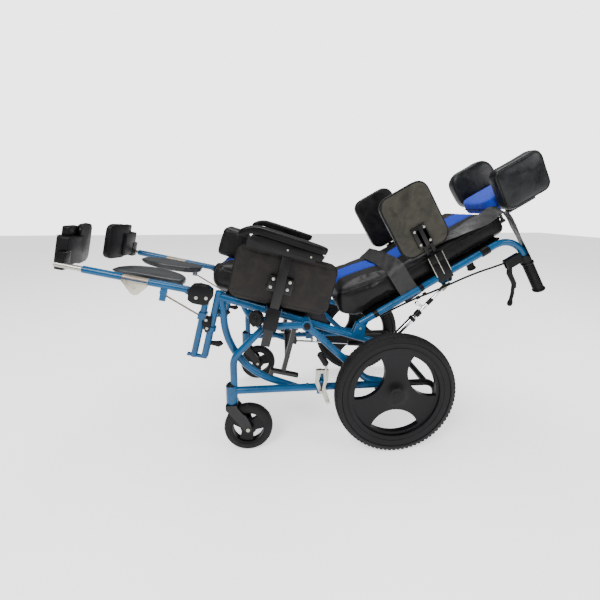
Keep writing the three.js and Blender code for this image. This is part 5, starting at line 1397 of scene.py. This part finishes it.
# Back
class CHAIR_OT_back(bpy.types.Operator):
    """Make the two back cushions"""
    bl_idname = "chair.back"
    bl_label = "Back"

    def execute(self, context):
        s = looks()
        half = s.band * 1000

        def lower(p, u):
            up = (u[2] + 1) / 2
            forward = (1 - u[0]) / 2
            rise = 50 * (1 - forward / 0.36) if forward < 0.36 else 34 * (forward - 0.36) / 0.64
            p.x += forward * up * 36
            if u[0] < 0:
                p.x -= 7 * dome(u[1], u[2])
            p.z += rise * (1 - up)
            p.y -= math.copysign(3 * (1 - u[2] ** 2) * u[1] ** 2, u[1])

        def upper(p, u):
            if u[0] < 0:
                p.x -= 7 * dome(u[1], u[2])
            if abs(u[2]) < 0.95 and u[0] < 0:
                p.y -= math.copysign(5 * (1 - u[2] ** 2) * u[1] ** 2, u[1])

        form = soft_piece("back_cushion_lower_cover", BACK, (-146, -173, -38), (-22.3, 173, 194), 22,
                          ["cover"], "back", ["back_cushion_lower"], lower, pressure=s.puff, cap=0.005,
                          seams=[(away(1, half), 2.4, 3.2)])
        line = [(-150 + 36 * (z + 38) / 232, y, z) for y, z in rounded_path(-170, 170, 2, 186, 22)]
        welt("back_cushion_lower_piping", form, BACK, [(x + 16, y * 1.02, z) for x, y, z in line],
             s.piping * 1000, "back")
        for side, k in SIDES:
            path = [(-175, k * (half - SEAM_INSET), z) for z in range(14, 178, 6)]
            stitches(f"lower_band_stitches_{side}", form, BACK, path, "back", closed=False)
        form = soft_piece("back_cushion_upper_cover", BACK, (-99, -174, 198), (-22.3, 173, 604), 22,
                          ["cover"], "back", ["back_cushion_upper"], upper, pressure=s.puff, cap=0.005,
                          seams=[(away(1, half), 2.4, 3.2), (lambda p: abs(p.x + 80), 1.4, 2.4)])
        line = [(-80, y, z) for y, z in rounded_path(-176, 176, 196, 606, 24)]
        welt("back_cushion_upper_piping", form, BACK, line, s.piping * 1000, "back")
        for side, k in SIDES:
            path = [(-130, k * (half - SEAM_INSET), z) for z in range(212, 592, 6)]
            stitches(f"upper_band_stitches_{side}", form, BACK, path, "back", closed=False)
        return {"FINISHED"}


# Headrest and side supports
def headrest_wing(side, k):
    """One wing of the headrest and its hinge leaf."""
    turn = BACK @ shift(-59, k * 102, 0) @ Matrix.Rotation(math.radians(-k * 5), 4, "Z")
    face = rounded_path(-167, -9, 640, 828, 34) if k < 0 else rounded_path(-179, -9, 638, 838, 64)

    def soft_corner(a, b, h):
        ua, ub = (a + 88) / 82, (b - 734) / 98
        pull = 1 - 0.05 * (1 - ub * ub) * ua * ua - 0.05 * (1 - ua * ua) * ub * ub
        return -88 + (a + 88) * pull, 734 + (b - 734) * pull, h

    low, high = span(k, -12, 44)
    wing = pillow(f"headrest_wing_cover_{side}", turn, face, low - 3, high + 5, along_xz, 0.4,
                  ["slate hide"], f"headrest_wing_{side}", [f"headrest_wing_{side}"], soft_corner,
                  seams=[(lambda p: abs(p.y - k * 34) if k < 0 else 99, 1.2, 3)], slot="leatherette",
                  power=2.2)
    welt(f"headrest_wing_piping_{side}", wing, turn,
         [(x, k * 39, z) for x, z in rounded_path(-160, -16, 647, 821, 30)], looks().piping * 900,
         f"headrest_wing_{side}")
    leaf = Shells()
    for low, high in ((663.6, 689.6), (750.4, 776.4)):
        leaf.rod((0, 0, low), (0, 0, high), 7.2, edge=0.8)
        leaf.slab([(-12, low), (0, low), (0, high), (-12, high)], -3.6, 3.6, soften=0.8)
    leaf.piece(f"headrest_wing_leaf_{side}", turn, ["steel"], f"headrest_wing_{side}")


def side_support(side, k):
    """One side support with its flat bars and rivets."""
    outline = rounded_path(-332, -107, 243, 419, 38)
    low, high = span(k, 147, 177)
    lateral = pillow(f"side_support_cover_{side}", BACK, outline, low - 1, high + 1, along_xz, 0.5,
                     ["hide", "olive hide"], f"lateral_support_{side}",
                     [f"lateral_support_{side}"], seams=[(away(1, 172), 1.6, 2.4)], slot="leatherette",
                     power=3.2, extra=lambda data: outer_face(data, k * 0.173))
    welt(f"side_support_piping_{side}", lateral, BACK,
         [(x, k * 173, z) for x, z in rounded_path(-333, -106, 242, 420, 38)], looks().piping * 1000,
         f"lateral_support_{side}")
    metal = Shells()
    y0, y1 = span(k, 176.5, 184)
    for low, high in ((312, 324), (336, 348)):
        metal.brick(-190, -26.5, *span(k, 179, 184), low, high, soften=0.8)
    metal.brick(-42, -26.5, *span(k, 179, 184), 312, 348, soften=0.8)
    metal.brick(-201, -128, y0, y1, 300, 352, soften=1.2)
    metal.piece(f"side_support_bars_{side}", BACK, ["steel"], f"lateral_support_{side}")
    heads = facing(k, 184, (-188, 308), (-189, 344), (-140, 344), (-140, 308))
    fasteners(f"side_support_rivets_{side}", BACK, heads, 4.4, f"lateral_support_{side}")


class CHAIR_OT_head(bpy.types.Operator):
    """Make the headrest with its wings and the side supports"""
    bl_idname = "chair.head"
    bl_label = "Headrest and side supports"

    def execute(self, context):
        def hollow(a, b, h):
            if h < -92:
                h += 10 * (1 - (a / 84) ** 2)
            return a, b, h

        outline = rounded_path(-84, 84, 624, 812, 30)
        pad = pillow("headrest_cover", BACK, outline, -137, -62.4, along_yz, 0.45, ["knit"], "headrest",
                     ["headrest_pad"], hollow, seams=[(away(1, 28), 2.2, 3), (away(1, 64), 1.6, 3)],
                     slot="blue_fabric", power=3)
        welt("headrest_piping", pad, BACK, [(-92, y, z) for y, z in outline], looks().piping * 1000,
             "headrest")
        hinge = Shells()
        for _, k in SIDES:
            hinge.rod((-59, k * 102, 664), (-59, k * 102, 776), 4.4, edge=0.6)
            hinge.rod((-59, k * 102, 690), (-59, k * 102, 750), 7.4, edge=0.8)
            hinge.slab([(-64.8, 690), (-56, 690), (-56, 750), (-64.8, 750)], *span(k, 40, 100), soften=1)
        hinge.piece("headrest_hinges", BACK, ["steel"], "headrest")
        for side, k in SIDES:
            headrest_wing(side, k)
            side_support(side, k)
        return {"FINISHED"}


def outer_face(data, edge):
    """Paint what lies outside the piping with the second material."""
    for face in data.polygons:
        if abs(face.center.y) > abs(edge) and face.center.y * edge > 0:
            face.material_index = 1


# Legrests
def calf_pad(side, s):
    """The oval calf pad, hollowed along its middle."""
    place = leg(s)
    low, high = span(-s, 154, 41)

    def trough(a, b, h):
        ua, across = (a + 177) / 115, (abs(b) - 41) / 113
        toe = max(0, -ua) ** 1.5
        if h > 16:
            h -= 4 * (1 - (2 * across - 1) ** 2) * max(0, 1 - ua * ua) + 9 * toe
        else:
            h += 5 * toe
        return a, -s * (41 + 7 * toe + across * (113 - 44 * min(1, abs(ua)) ** 2.2 - 7 * toe)), h

    # The cover takes the black leatherette lightened to grey as painted sheen
    pillow(f"calf_pad_cover_{side}", place, rounded_path(-292, -62, low, high, 34), 1.8, 31, along_xy, 0.42,
           ["calf hide"], f"legrest_{side}", [f"calf_pad_{side}"], trough,
           seams=[(lambda p: abs(p.z - 9), 1.4, 2.2)], slot="leatherette", power=2.8)


def knuckle(side, s):
    """The moulded cover of the legrest's joint."""
    cover = Shells()
    outline = [(-382, -8), (-385, 24), (-378, 42), (-356, 48), (-330, 47), (-314, 38), (-310, 14),
               (-320, -10), (-340, -16), (-366, -16)]
    for face in (1, -1):
        cover.slab(outline, *span(face, 8, 14.8), soften=2.2)
    cover.slab([(-352, 34), (-352, 46.5), (-332, 45.8), (-316, 36.5), (-312, 14), (-322, 6)], -9, 9,
               soften=1)
    cover.piece(f"knuckle_cover_{side}", hang(s), ["nylon"], f"legrest_hanger_{side}")
    heads = [head for face in (1, -1) for head in facing(face, 14.8, (-357, 5), (-327, 10))]
    fasteners(f"knuckle_bolts_{side}", hang(s), heads, 5.2, f"legrest_hanger_{side}")


def outward(s, outline):
    """An outline measured from the chair's middle, as places across one legrest."""
    return [(-s * (RAIL - y), z) for y, z in outline]


def footplate(side, s):
    """The footplate with its foot box, clip and pivot block."""
    place = leg(s)
    short = PUSHED_IN[side]
    hinge = -(410 - short)
    plate = Shells()
    tread = outward(s, rounded_path(26, 116, 2, 134, 24))

    def splayed(y, z, x):
        return along_yz(y, z, x - (0.2 if s < 0 else 0.28) * max(0, abs(y) - 62))

    plate.slab(tread, hinge - 9.2, hinge + 9.2, soften=4, lie=splayed)
    box = outward(s, [(96, 10), (177, 10), (177, 96), (173, 100), (100, 100), (96, 96)])
    plate.slab(box, hinge - 25.2, hinge + 9.6, soften=2.4, lie=along_yz)
    cap = outward(s, [(102, 97), (158, 97), (158, 125), (154, 129), (106, 129), (102, 125)])
    plate.slab(cap, hinge - 25.2, hinge - 5, soften=2.4, lie=along_yz)
    plate.brick(hinge - 9.2, hinge + 9.2, *span(-s, 13, 42), 59.6, 92.4, soften=2.5)
    plate.piece(f"footplate_cover_{side}", place, ["nylon"], f"footplate_{side}",
                [f"footplate_{side}"])
    edge = Shells()
    edge.slab(outward(s, [(98, 99), (175, 99), (175, 101.4), (98, 101.4)]), hinge - 26.4, hinge - 22,
              soften=0.5, lie=along_yz)
    edge.piece(f"footplate_clip_{side}", place, ["zinc"], f"footplate_{side}")
    block = Shells()
    block.rod((hinge, -s * 19, 0.6), (hinge, -s * 19, 97), 5, edge=1)
    block.brick(hinge - 12.5, hinge + 12.5, *span(s, 5, -26.5), 0.6, 56.5, soften=2)
    block.piece(f"foot_block_{side}", place, ["nylon"], f"foot_tube_{side}")


class CHAIR_OT_legs(bpy.types.Operator):
    """Make the calf pads and dress the knuckles and footplates"""
    bl_idname = "chair.legs"
    bl_label = "Legrests"

    def execute(self, context):
        for side, s in SIDES:
            calf_pad(side, s)
            knuckle(side, s)
            footplate(side, s)
        return {"FINISHED"}


# Straps
class CHAIR_OT_straps(bpy.types.Operator):
    """Lay the belt and the shoulder strap over the cushions"""
    bl_idname = "chair.straps"
    bl_label = "Straps"

    def execute(self, context):
        wide = looks().belt * 1000
        up = (0, 0, 1)
        belt = [((-16, 187, 206), up), ((-30, 184, 204), up), ((-70, 181, 198), (-0.2, 0, 1)),
                ((-104, 177, 194), (-0.3, 0, 1)), ((-121, 160, 193), (-0.25, 0, 1)),
                ((-124, 120, 196), (-0.15, 0, 1)), ((-126, 60, 200), (-0.1, 0, 1)),
                ((-126, 0, 202), (-0.1, 0, 1)), ((-125, -60, 202), (-0.1, 0, 1)),
                ((-122, -120, 202), (-0.15, 0, 1)), ((-118, -158, 201), (-0.2, 0, 1)),
                ((-104, -177, 200), (-0.2, 0, 1)), ((-70, -180.5, 201), (-0.1, 0, 1)),
                ((-34, -184, 203), up), ((-14, -188, 205), up), ((4, -187.5, 206), up)]
        ribbon("chest_belt", BACK, belt, wide * 1.25, 2.4, "back", wrinkle=1.4)
        strap = [((74, -187, 614), (0, -1, -0.3)), ((34, -187, 611), (0, -1, -0.34)),
                 ((-24, -186, 610), (0, -1, -0.3)), ((-76, -181, 612), (0.1, -1, -0.2)),
                 ((-101, -172, 604), (0.4, -0.9, 0)), ((-109, -168, 580), (0.7, -0.7, 0)),
                 ((-106, -172, 540), (0.75, -0.65, 0)), ((-107.5, -166, 500), (0.6, -0.8, 0)),
                 ((-106, -158, 462), (0.35, -0.94, 0)), ((-105.5, -150, 424), (0.15, -1, 0)),
                 ((-105.5, -143, 388), (0, -1, 0)), ((-105.5, -138, 352), (0, -1, 0))]
        ribbon("shoulder_strap", BACK, strap, wide * 0.95, 2.2, "back", wrinkle=1.2)
        return {"FINISHED"}


# Fittings
def strut(side, s):
    """The recline strut: body, collars, stem, release eye and head."""
    foot = Vector(STRUT_FOOT)
    top = shift(*BACK_HINGE) @ pitch(BACK_ANGLE) @ Vector(STRUT_TOP)
    reach = (top - foot).length
    lean = math.atan2(top.z - foot.z, top.x - foot.x)
    line = TILT @ shift(foot.x, s * RAIL, foot.z) @ Matrix.Rotation(-lean, 4, "Y")
    body = Shells()
    body.rod((22, 0, 0), (150, 0, 0), 9.5, sides=28, edge=1.2)
    body.piece(f"strut_body_{side}", line, ["chrome"], f"recline_cylinder_{side}")
    wraps = Shells()
    wraps.rod((134, 0, 0), (147, 0, 0), 12, sides=28, edge=1.5)
    wraps.rod((137, -11, 4), (144, -11, 4), 5, sides=20, edge=1)
    wraps.rod((156, 0, 0), (178, 0, 0), 10.4, sides=28, edge=2)
    wraps.piece(f"strut_collars_{side}", line, ["nylon"], f"recline_cylinder_{side}")
    stem = Shells()
    stem.rod((178.6, 0, 0), (reach - 6, 0, 0), 4.8, edge=0.5)
    stem.rod((190, 0, 0), (200, 0, 0), 8, sides=28, edge=1)
    stem.rod((195, 0, 0), (189, 0, 26), 4, sides=20, edge=0.8)
    stem.rod((189, -5, 27), (189, 5, 27), 7, sides=28, edge=1)
    stem.piece(f"strut_stem_{side}", line, ["chrome"], f"recline_rod_{side}")
    cuff = Shells()
    cuff.rod((210, 0, 0), (236, 0, 0), 7, sides=28, edge=1.2)
    cuff.piece(f"strut_cuff_{side}", line, ["nylon"], f"recline_rod_{side}")
    valve = Shells()
    valve.brick(reach - 26, reach + 11, *span(s, -4.6, 4.8), -8, 8, soften=2)
    valve.piece(f"strut_head_{side}", line, ["raw"], f"recline_rod_{side}")


def back_sleeves(side, s):
    """The moulded sleeves of the back tube and the side support's guide."""
    sleeves = Shells()
    y = s * RAIL
    sleeves.rod((-13, y, 471), (-13, y, 502), 14.6, sides=32, edge=2)
    sleeves.rod((-13, y, 62), (-13, y, 78), 12.6, sides=32, edge=1)
    sleeves.rod((-13, y, 236), (-13, y, 250), 13.2, sides=32, edge=1.5)
    sleeves.brick(-63, 3, *span(s, 184, 199), 303.5, 356.5, soften=2.4)
    sleeves.brick(-94, -62, *span(s, 184.4, 197), 304, 356, soften=1.5)
    sleeves.piece(f"back_sleeves_{side}", BACK, ["nylon"], "back")
    trims = Shells()
    for low, high in ((303, 305.4), (328.8, 331.2), (354.6, 357)):
        trims.brick(-94, -20, *span(s, 196, 200), low, high, soften=0.5)
    trims.piece(f"side_support_guide_trims_{side}", BACK, ["zinc"], "back")


def height_knob(side, s):
    """The lobed knob that clamps the armrest's post."""
    knob = Shells()
    axis = Vector((-162, s * 255.6, 0))
    # The knob points outwards and forwards
    ray = Vector((-0.543, s * 0.84, 0))
    for k in range(8):
        a = 2 * math.pi * k / 8
        side_way = Vector((0.84 * math.cos(a), s * 0.543 * math.cos(a), math.sin(a)))
        knob.rod(axis - ray * 10 + side_way * 19, axis + ray * 8 + side_way * 19, 6.4, sides=16, edge=2.4)
    knob.rod(axis - ray * 12, axis + ray * 9, 23, sides=44, edge=2.4)
    knob.rod(axis + ray * 8, axis + ray * 11.4, 11, sides=32, edge=1.5)
    knob.rod(axis - ray * 21, axis - ray * 10, 9, sides=32, edge=1.5)
    knob.piece(f"arm_height_knob_{side}", TILT, ["nylon"], "seat")
    fasteners(f"arm_height_knob_cap_{side}", TILT, [(axis + ray * 11.4, ray)], 5.5, "seat", "nylon", 0.0015)


def latches(side, s):
    """The legrest's latch, the rail's bolts, the shaft's cap and the lower stop."""
    latch = Shells()
    latch.slab([(-314, -44), (-298, -44), (-294, -90), (-306, -100), (-322, -74)], *span(s, 197, 205),
               soften=2)
    for lift in (-136, -28):
        latch.slab([(-288, lift + 6), (-272, lift + 8), (-254, lift + 13), (-244, lift + 4),
                    (-256, lift - 8), (-276, lift - 6), (-288, lift - 6)], *span(s, 181, 193),
                   soften=3)
    latch.piece(f"hanger_latch_{side}", TILT, ["nylon"], "seat")
    heads = facing(s, 205, (-304, -84), (-312, -58)) + facing(s, 204.2, (0, 0))
    heads += facing(s, 198, (BACK_HINGE[0], BACK_HINGE[2]))
    fasteners(f"rail_bolts_{side}", TILT, heads, 4.4, "seat")
    fasteners(f"tilt_pivot_cap_{side}", ROW, facing(s, 232.4, (SHAFT[0], SHAFT[2])), 9.5, "base", "nylon",
              0.003)
    foot = Shells()
    foot.rod((-281, s * BASE, 219), (-281, s * BASE, 205), 5.4, sides=20, edge=1)
    foot.piece(f"lower_rail_stop_{side}", ROW, ["enamel"], "base")


def wheel_lock(side, s):
    """The wheel lock's two zinc links with their pins."""
    arm = Shells()
    arm.slab([(-256, 281), (-238, 282), (-241, 258), (-246, 240), (-234, 205), (-244, 197), (-258, 233),
              (-256, 259)], *span(s, 236, 241), soften=1.2)
    arm.slab([(-233, 281), (-215, 282), (-217, 245), (-226, 222), (-212, 174), (-223, 166), (-238, 206),
              (-231, 245)], *span(s, 243, 248), soften=1.2)
    arm.brick(-254, -217, *span(s, 238, 246), 268, 281, soften=1.2)
    arm.rod((-239, s * 234, 205), (-239, s * 250, 205), 5, sides=24, edge=1)
    arm.rod((-224, s * 234, 256), (-224, s * 250, 256), 5.5, sides=24, edge=1)
    arm.rod((-218, s * 228, 171), (-218, s * 250, 171), 6.6, sides=28, edge=1)
    arm.rod((-223, s * 245, 301), (-225, s * 245, 262), 4.2, sides=20, edge=0.8)
    arm.piece(f"wheel_lock_link_{side}", ROW, ["zinc"], f"wheel_lock_{side}",
              [f"wheel_lock_{side}"])


def push_grip(side, s):
    """The ribbed foam grip of the push handle."""
    y = s * RAIL
    ribs = Shells()
    for k in range(13):
        x = 106 + 7.4 * k
        ribs.rod((x, y, HANDLE), (x + 3.6, y, HANDLE), 17.1, sides=36, edge=1)
    ribs.rod((95.6, y, HANDLE), (102.4, y, HANDLE), 19.6, sides=36, edge=1.4)
    ribs.rod((201.6, y, HANDLE), (208.8, y, HANDLE), 19.6, sides=36, edge=2.2)
    ribs.rod((68, y, HANDLE), (96, y, HANDLE), 16.5, sides=36, edge=1.5)
    ribs.piece(f"grip_ribs_{side}", BACK, ["foam"], "back")


def brake_lever(side, s):
    """The brake lever under the grip."""
    y = s * RAIL
    blade = Shells()
    line = [(70, y, 546), (98, y, 532), (140, y, 531), (172, y, 512), (194, y, 494)]
    blade.pipe(line, [20, 20, 20], 5.8, sides=16)
    blade.sweep([Vector((188, y, 499)), Vector((193, y, 495)), Vector((198, y, 491)), Vector((203, y, 487)),
                 Vector((206, y, 485))], [5.8, 7.6, 8.6, 7.6, 4], 20)
    blade.slab([(64, 552), (82, 549), (104, 540), (142, 539), (160, 530), (154, 522), (134, 525), (98, 524),
                (76, 536), (64, 541)], y - 4.6, y + 4.6, soften=1.6)
    blade.piece(f"brake_lever_cover_{side}", BACK, ["nylon"], f"brake_lever_{side}")


def wheel_lock_grip(side, s):
    """The foam grip of the wheel lock."""
    grips = Shells()
    grips.rod((-222, s * 245, 297), (-246, s * 245, 338), 10.4, sides=28, edge=4)
    grips.piece(f"wheel_lock_grip_{side}", ROW, ["foam"], f"wheel_lock_{side}")


def brake_cable(side, s):
    """The brake cable along the back tube, and its clips."""
    cable = Shells()
    route = [(60, 531, 0), (52, 490, 0), (42, 447, 2), (31, 390, 6), (23, 333, 9.5), (16, 274, 9),
             (9, 217, 5), (4.8, 160, 2), (2.4, 110, 0), (1, 76, 0)]
    line = [Vector((x, s * (RAIL + inward), z)) for x, z, inward in route]
    smooth = smooth_line(line, 4)
    cable.sweep(smooth, [3.3] * len(smooth), 14)
    cable.piece(f"brake_cable_cover_{side}", BACK, ["sheath"], "back", [f"brake_cable_{side}"])
    clips = Shells()
    for z in (243, 218):
        clips.rod((9, s * (RAIL + 6), z - 6), (9, s * (RAIL + 6), z + 6), 5.5, sides=20, edge=1.2)
    clips.piece(f"cable_clips_{side}", BACK, ["nylon"], "back")


class CHAIR_OT_fittings(bpy.types.Operator):
    """Add the clamps, knobs, latches, collars and grip ribs"""
    bl_idname = "chair.fittings"
    bl_label = "Fittings"

    def execute(self, context):
        for side, s in SIDES:
            strut(side, s)
            back_sleeves(side, s)
            height_knob(side, s)
            latches(side, s)
            wheel_lock(side, s)
            push_grip(side, s)
            brake_lever(side, s)
            wheel_lock_grip(side, s)
            brake_cable(side, s)
        return {"FINISHED"}


# Stage
class CHAIR_OT_stage(bpy.types.Operator):
    """Set the floor, the lights and the camera of the photograph"""
    bl_idname = "chair.stage"
    bl_label = "Stage"

    def execute(self, context):
        scene = context.scene
        ground = bpy.data.meshes.new("floor")
        ground.from_pydata([(-9, -9, 0), (9, -9, 0), (9, 9, 0), (-9, 9, 0)], [], [(0, 1, 2, 3)])
        ground.materials.append(paper())
        floor = new_object("floor", ground)
        world = bpy.data.worlds.new("studio")
        world.use_nodes = True
        tree = world.node_tree
        backdrop = tree.nodes["Background"]
        backdrop.inputs["Color"].default_value = (1, 1, 1, 1)
        # The backdrop gives 0.75 as a light, 2.7 more to the camera and 0.45 less in reflections
        path = node(tree, "ShaderNodeLightPath")
        seen = node(tree, "ShaderNodeMath", [(0, path, "Is Camera Ray")], operation="MULTIPLY_ADD",
                    values={1: 2.7, 2: 0.75})
        node(tree, "ShaderNodeMath", [(0, path, "Is Glossy Ray"), (2, seen, "Value")],
             [("Value", backdrop, "Strength")], operation="MULTIPLY_ADD", values={1: -0.45})
        scene.world = world
        for name, spot, size, power in (("key", (-1.4, -2.4, 3.0), 1.6, 120),
                                        ("fill", (2.6, -1.8, 2.2), 1.6, 42),
                                        ("top", (0.2, 0.6, 3.6), 2.4, 105)):
            data = bpy.data.lights.new(name, "AREA")
            data.shape = "DISK"
            data.size = size
            data.energy = power
            lamp = new_object(name, data)
            lamp.location = spot
            lamp.rotation_euler = (Vector((0, 0, 0.45)) - Vector(spot)).to_track_quat("-Z", "Y").to_euler()
        # The photograph's own view, solved from points on the chair
        data = bpy.data.cameras.new("camera")
        data.sensor_width = 36
        data.lens = 18.37
        data.shift_x, data.shift_y = -0.0069, -0.0757
        data.clip_start = 0.02
        camera = new_object("camera", data)
        right, up = Vector((0.99694, -0.07817, 0)), Vector((0.01123, 0.14317, 0.98963))
        turn = Matrix((right, up, right.cross(up))).transposed()
        camera.matrix_world = Matrix.Translation((AXLE - 0.36458, -1.14782, 0.78294)) @ turn.to_4x4()
        scene.camera = camera
        return {"FINISHED"}


# Panel and run
class CHAIR_PT_panel(bpy.types.Panel):
    """Buttons that build the chair"""
    bl_label = "Care chair"
    bl_idname = "CHAIR_PT_panel"
    bl_space_type = "VIEW_3D"
    bl_region_type = "UI"
    bl_category = "Chair"

    def draw(self, context):
        for name in ChairLooks.__annotations__:
            self.layout.prop(context.scene.chair_looks, name)
        for step in STEPS:
            self.layout.operator(step.bl_idname)


STEPS = (CHAIR_OT_materials, CHAIR_OT_frame, CHAIR_OT_wheels, CHAIR_OT_seat, CHAIR_OT_arms, CHAIR_OT_back,
         CHAIR_OT_head, CHAIR_OT_legs, CHAIR_OT_straps, CHAIR_OT_fittings, CHAIR_OT_stage)


def register():
    bpy.utils.register_class(ChairLooks)
    bpy.types.Scene.chair_looks = bpy.props.PointerProperty(type=ChairLooks)
    for step in STEPS:
        bpy.utils.register_class(step)
    bpy.utils.register_class(CHAIR_PT_panel)


def unregister():
    bpy.utils.unregister_class(CHAIR_PT_panel)
    for step in reversed(STEPS):
        bpy.utils.unregister_class(step)
    del bpy.types.Scene.chair_looks
    bpy.utils.unregister_class(ChairLooks)


def main():
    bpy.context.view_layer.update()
    register()
    bpy.ops.chair.materials()
    bpy.ops.chair.frame()
    bpy.ops.chair.wheels()
    bpy.ops.chair.seat()
    bpy.ops.chair.arms()
    bpy.ops.chair.back()
    bpy.ops.chair.head()
    bpy.ops.chair.legs()
    bpy.ops.chair.straps()
    bpy.ops.chair.fittings()
    bpy.ops.chair.stage()


if __name__ == "__main__":
    main()
